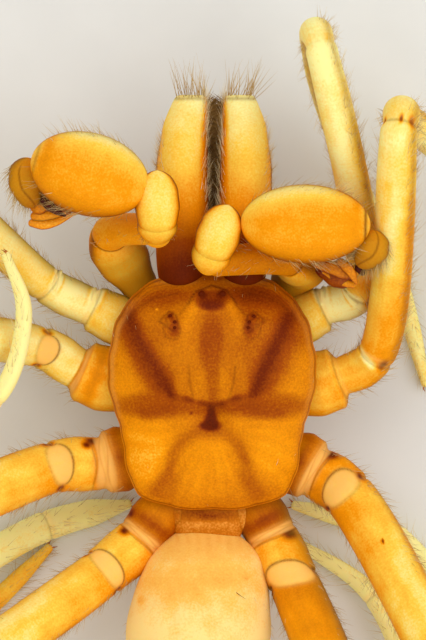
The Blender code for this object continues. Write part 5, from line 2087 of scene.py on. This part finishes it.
PALPS = (
    Palp(
        side="left",
        coxa=((-1.34, 2.12, 2.02), (-1.58, 2.50, 2.16), (-1.84, 2.98, 2.66)),
        femur_knee=(-1.02, 3.04, 3.86),
        patella=((-0.98, 2.93, 4.28), (-0.98, 4.12, 4.46)),
        tibia=((-1.15, 3.76, 4.46), (-3.24, 4.34, 4.46)),
        tibia_radius=0.745,
        cymbium=((-3.30, 4.34, 4.20), (-3.34, 3.90, 4.02), (-3.20, 3.46, 3.90)),
        bulb=((-3.10, 3.50, 3.50), (-2.80, 3.40, 3.42), (-2.46, 3.50, 3.34)),
        plates=(
            Plate(((-3.24, 3.40, 3.80), (-3.04, 3.54, 3.86), (-2.80, 3.66, 3.84)), 0.17, 0.62),
            Plate(((-3.07, 3.62, 4.02), (-2.86, 3.44, 4.00), (-2.62, 3.30, 3.92)), 0.085, 0.03, 0.7),
            Plate(((-3.26, 3.30, 3.74), (-2.96, 3.32, 3.76), (-2.62, 3.36, 3.70)), 0.10, 0.70, 0.6, 0.5),
            Plate(((-3.30, 3.19, 3.66), (-2.95, 3.16, 3.64), (-2.44, 3.36, 3.60)), 0.095, 0.74, 0.5),
        ),
        limb_tone=0.73,
        point=0.0,
        rim=0.35,
        sheen=0.56,
    ),
    Palp(
        side="right",
        coxa=((1.40, 2.14, 2.02), (1.62, 2.44, 2.40), (1.38, 2.56, 3.12)),
        femur_knee=(0.24, 2.50, 3.82),
        patella=((-0.06, 2.46, 4.10), (0.30, 3.50, 4.28)),
        tibia=((0.51, 3.18, 4.28), (2.84, 3.14, 4.28)),
        tibia_radius=0.71,
        cymbium=((2.88, 3.06, 4.10), (2.86, 2.70, 4.06), (2.62, 2.40, 3.96)),
        bulb=((2.54, 2.34, 3.58), (2.20, 2.26, 3.46), (1.86, 2.34, 3.38)),
        plates=(
            Plate(((2.52, 2.24, 3.74), (2.22, 2.36, 3.80), (1.84, 2.42, 3.72)), 0.15, 0.56),
            Plate(((2.26, 2.52, 3.90), (2.48, 2.32, 3.92), (2.60, 2.08, 3.84)), 0.10, 0.62),
            Plate(((2.58, 2.05, 3.64), (2.30, 2.14, 3.62), (1.98, 2.30, 3.60)), 0.075, 0.70),
            Plate(((2.60, 2.44, 3.92), (2.68, 2.34, 3.88), (2.72, 2.24, 3.80)), 0.10, 0.04, 0.8),
        ),
        limb_tone=0.58,
        point=0.08,
        rim=0.75,
        sheen=0.46,
    ),
)


# Hair of the whole animal


@dataclass
class Pelage:
    """Every hair of the animal, in coats of one region each."""

    template: bpy.types.Mesh

    FLANKS = ((0.0, 0.0), (0.85, 0.0), (1.25, 1.0), (2.3, 0.9), (3.15, 0.5))
    EVERYWHERE = ((0.0, 1.0), (3.15, 1.0))

    def settle(self, animal: Animal, coat: Coat, roots: Roots) -> None:
        animal.settle(coat.grow(self.template, roots), HAIR, "limb_pale")

    def legs(self, animal: Animal, legs: tuple[Leg, ...], tubes: list[Tube]) -> None:
        """Fine bristles on the flanks and undersides of the legs."""
        for number, (leg, tube) in enumerate(zip(legs, tubes)):
            last = len(leg.joints) - 1.0
            spread = ((0.5, 0.0), (0.9, 0.7), (2.0, 1.0), (3.0, 1.0), (4.5, 0.7), (5.0, 0.35), (last, 0.40))
            roots = tube_roots(tube, leg.hairs, spread, self.FLANKS, seed=11 + number)
            coat = Coat(f"{leg.name}_hair", (0.09, 0.28), 0.0046, tip_tone=0.15, seed=31 + number)
            self.settle(animal, coat, roots)

    def palps(self, animal: Animal, tubes: dict[str, dict[str, Tube]]) -> None:
        """Bristles round the palps, densest on the cymbium."""
        counts = {"limb": (160, self.FLANKS), "tibia": (460, self.FLANKS), "cymbium": (420, self.FLANKS)}
        fade = ((0.0, 0.8), (0.7, 1.0), (0.9, 0.3), (1.0, 0.0), (2.0, 1.4), (4.0, 1.4))
        for number, (side, parts) in enumerate(tubes.items()):
            for name, (count, round_it) in counts.items():
                tube = parts[name]
                last = len(tube.joints) - 1.0
                spread = fade if name == "tibia" else ((0.0, 0.5), (last, 1.4))
                roots = tube_roots(tube, count, spread, round_it, seed=51 + number)
                coat = Coat(f"palp_{name}_hair_{side}", (0.10, 0.28), 0.0046, tip_tone=0.15, seed=61 + number)
                self.settle(animal, coat, roots)

    def jaws(self, animal: Animal, skins: dict[str, Skin]) -> None:
        """Brush and curls in the gap between the jaws, the brush dark as painted shade for the gap, a few outer
        hairs and the fringe at the tips.
        """
        ahead = (0.0, 1.0, 0.1)
        for number, (side, skin) in enumerate(skins.items()):
            x, y, z = skin.points.T
            tip = y.max()
            inner = -x if side == "right" else x
            inner = inner - inner.mean()
            inward = (0.6 if side == "left" else -0.6, 0.4, 0.0)
            flank = slope(inner, 0.30, 0.12)
            low = flank * np.where(z < 2.45, 1.0, 0.0) * slope(-y, -5.4, 0.9) * slope(y, 2.4, 0.3)
            # The brush is real setae, but all its roots are set dark so that it stands as painted shade in the
            # gap between the jaws.
            coat = Coat(f"jaw_brush_{side}", (0.10, 0.24), 0.010, curl=0.5, tip_tone=0.05, seed=68 + number)
            roots = skin_roots(skin, low, inward, 2600, 72 + number)
            roots.tones[:] = 0.16
            self.settle(animal, coat, roots)
            gap = flank * slope(y, 2.9, 0.5) * np.where(z > 2.3, 1.0, 0.0)
            coat = Coat(f"jaw_curls_{side}", (0.07, 0.17), 0.0050, curl=1.0, tip_tone=0.45, seed=71 + number)
            self.settle(animal, coat, skin_roots(skin, gap, ahead, 420, 75 + number))
            outer = slope(-inner, 0.34, 0.10) * slope(y, 3.4, 0.8)
            coat = Coat(f"jaw_hair_{side}", (0.08, 0.20), 0.0045, curl=0.4, seed=78 + number)
            self.settle(animal, coat, skin_roots(skin, outer, ahead, 200, 79 + number))
            fringe = slope(y - tip, -0.12, 0.1) * slope(z, 2.20, 0.2)
            roots = skin_roots(skin, fringe, (-0.25 if side == "left" else 0.25, 1.0, 0.1), 40, 81 + number)
            roots.tones[:] = 0.34
            coat = Coat(f"jaw_fringe_{side}", (0.30, 0.56), 0.0066, (0.1, 0.7), 0.30, 0.30, seed=85 + number)
            self.settle(animal, coat, roots)

    def body(self, animal: Animal, shield: Skin, belly: Skin, plate: Skin, spinnerets: list[Tube]) -> None:
        """Short hair of the shield, abdomen, sternum and spinnerets."""
        x, y, z = shield.points.T
        reach = Carapace().reach(x, y)
        weight = np.where(z > 2.66, 0.02 + bell(reach, 0.9, 0.1), 0.0)
        coat = Coat("shield_hair", (0.05, 0.12), 0.005, stand=(0.3, 0.8), seed=91)
        self.settle(animal, coat, skin_roots(shield, weight, (0.0, 1.0, 0.0), 30, 92))
        coat = Coat("abdomen_hair", (0.08, 0.20), 0.0055, stand=(0.15, 0.6), seed=93)
        sparse = np.clip(1.2 - 0.55 * (belly.points[:, 2] - 1.6), 0.12, 1.0)
        self.settle(animal, coat, skin_roots(belly, sparse, (0.0, -1.0, 0.0), 1300, 94))
        top = Spot(0.02, -3.10, 0.75, 0.40).cover(belly.points[:, 0], belly.points[:, 1])
        roots = skin_roots(belly, np.where(belly.points[:, 2] > 3.0, top, 0.0), (0.5, -0.6, 0.0), 16, 90)
        roots.tones[:] = 0.0
        coat = Coat("abdomen_bristles", (0.10, 0.22), 0.0075, (0.1, 0.3), tip_tone=0.1, seed=89)
        self.settle(animal, coat, roots)
        lower = np.where(plate.points[:, 2] < 1.38, 1.0, 0.0)
        coat = Coat("sternum_hair", (0.14, 0.28), 0.0065, seed=95)
        self.settle(animal, coat, skin_roots(plate, lower, (0.0, 1.0, -0.2), 300, 96))
        for number, tube in enumerate(spinnerets):
            roots = tube_roots(tube, 160, ((0.0, 1.0), (3.0, 1.3)), self.EVERYWHERE, seed=97 + number)
            self.settle(animal, Coat(f"{tube.name}_hair", (0.10, 0.20), 0.006, seed=99 + number), roots)


# Stage


@dataclass
class Studio:
    """Pale floor, soft lights and the camera straight above the animal."""

    offset: Vector
    view_centre: tuple[float, float] = (0.018, 1.44)
    view_height: float = 11.52
    focus_level: float = 3.0
    lens: float = 900.0
    sensor: float = 36.0
    floor_size: float = 1.6
    floor_drop: float = 0.00002

    LIGHTS = (
        ("key", (-0.09, 0.12, 0.30), 0.30, 0.40, (1.0, 0.99, 0.96)),
        ("fill", (0.20, 0.02, 0.24), 0.34, 0.38, (1.0, 0.99, 0.98)),
        ("back", (0.02, -0.24, 0.16), 0.26, 0.16, (1.0, 0.99, 0.97)),
    )
    SKY = (1.0, 0.99, 0.97)
    SKY_STRENGTH = 0.62
    FIBRE_SCALE = 900.0
    FLOOR_COLOURS = ((0.70, 0.70, 0.68), (0.76, 0.76, 0.74))

    def floor(self) -> None:
        """A wide pale sheet under the feet."""
        clear_selection()
        low = self.offset.z - self.floor_drop
        bpy.ops.mesh.primitive_grid_add(
            x_subdivisions=8, y_subdivisions=8, size=self.floor_size, location=(0, 0, low)
        )
        floor = bpy.context.object
        floor.name = "floor"
        graph = Graph("floor_paper")
        place = graph.node("ShaderNodeTexCoord", out="Object")
        fibres = graph.noise(place, self.FIBRE_SCALE, 4.0)
        colour = graph.mixed(fibres, *self.FLOOR_COLOURS)
        floor.data.materials.append(graph.dressed({"Base Color": colour}, {"Roughness": 0.9}))
        floor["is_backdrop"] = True

    def lights(self) -> None:
        """Soft area lights and a pale sky."""
        for name, place, size, power, colour in self.LIGHTS:
            light = bpy.data.lights.new(name, "AREA")
            light.shape = "DISK"
            light.size = size
            light.energy = power
            light.color = colour
            lamp = placed(name, light)
            lamp.location = Vector(place) + self.offset
            lamp.rotation_euler = (-Vector(place)).to_track_quat("-Z", "Y").to_euler()
        world = bpy.data.worlds.new("pale_sky")
        world.use_nodes = True
        sky = world.node_tree.nodes["Background"]
        sky.inputs["Color"].default_value = (*self.SKY, 1.0)
        sky.inputs["Strength"].default_value = self.SKY_STRENGTH
        bpy.context.scene.world = world

    def camera(self) -> None:
        """A long lens straight above, with the head towards the top of the picture."""
        camera = bpy.data.cameras.new("camera")
        camera.lens = self.lens
        camera.sensor_width = self.sensor
        camera.clip_start = 0.01
        distance = (self.view_height * self.lens / self.sensor + self.focus_level) * MM
        eye = placed("camera", camera)
        centre = Vector((*self.view_centre, 0.0)) * MM + self.offset
        eye.location = centre + Vector((0.0, 0.0, distance))
        bpy.context.scene.camera = eye

    def build(self) -> None:
        """Set the whole stage."""
        self.floor()
        self.lights()
        self.camera()
        bpy.context.scene.view_settings.view_transform = "Standard"


# Sides and rings of the rods for legs, for shorter tubes, for claws and for hairs
ROD_SIZES = ((88, 380), (72, 110), (8, 12), (3, 3))


def main() -> None:
    """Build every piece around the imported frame."""
    logging.basicConfig(level=logging.INFO, format="%(name)s: %(message)s")
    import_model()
    solid_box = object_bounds()
    animal = Animal()
    shield = Carapace()
    leg_rod, short_rod, claw_rod, hair_rod = (extruded_rod(sides, rings) for sides, rings in ROD_SIZES)
    shield_skin = shield.build(animal)
    plate_skin = Sternum(shield).build(animal)
    Eyes(shield).build(animal)
    jaw_ball = ball(128, 128)
    jaw_skins = {jaw.side: jaw.build(animal, jaw_ball, short_rod) for jaw in JAWS}
    belly_skin, spinnerets = Abdomen().build(animal, short_rod)
    leg_tubes = [leg.build(animal, leg_rod) for leg in LEGS]
    Claws().build(animal, leg_tubes, claw_rod)
    palp_tubes = {palp.side: palp.build(animal, short_rod) for palp in PALPS}
    pelage = Pelage(hair_rod)
    pelage.legs(animal, LEGS, leg_tubes)
    pelage.palps(animal, palp_tubes)
    pelage.jaws(animal, jaw_skins)
    pelage.body(animal, shield_skin, belly_skin, plate_skin, spinnerets)
    Studio(animal.offset).build()
    log.info("whole animal: %d triangles", animal.triangles)
    boxes = {"cad": solid_box, "visual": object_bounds()}
    {name: [list(map(float, corner)) for corner in box] for name, box in boxes.items()}


if __name__ == "__main__":
    main()
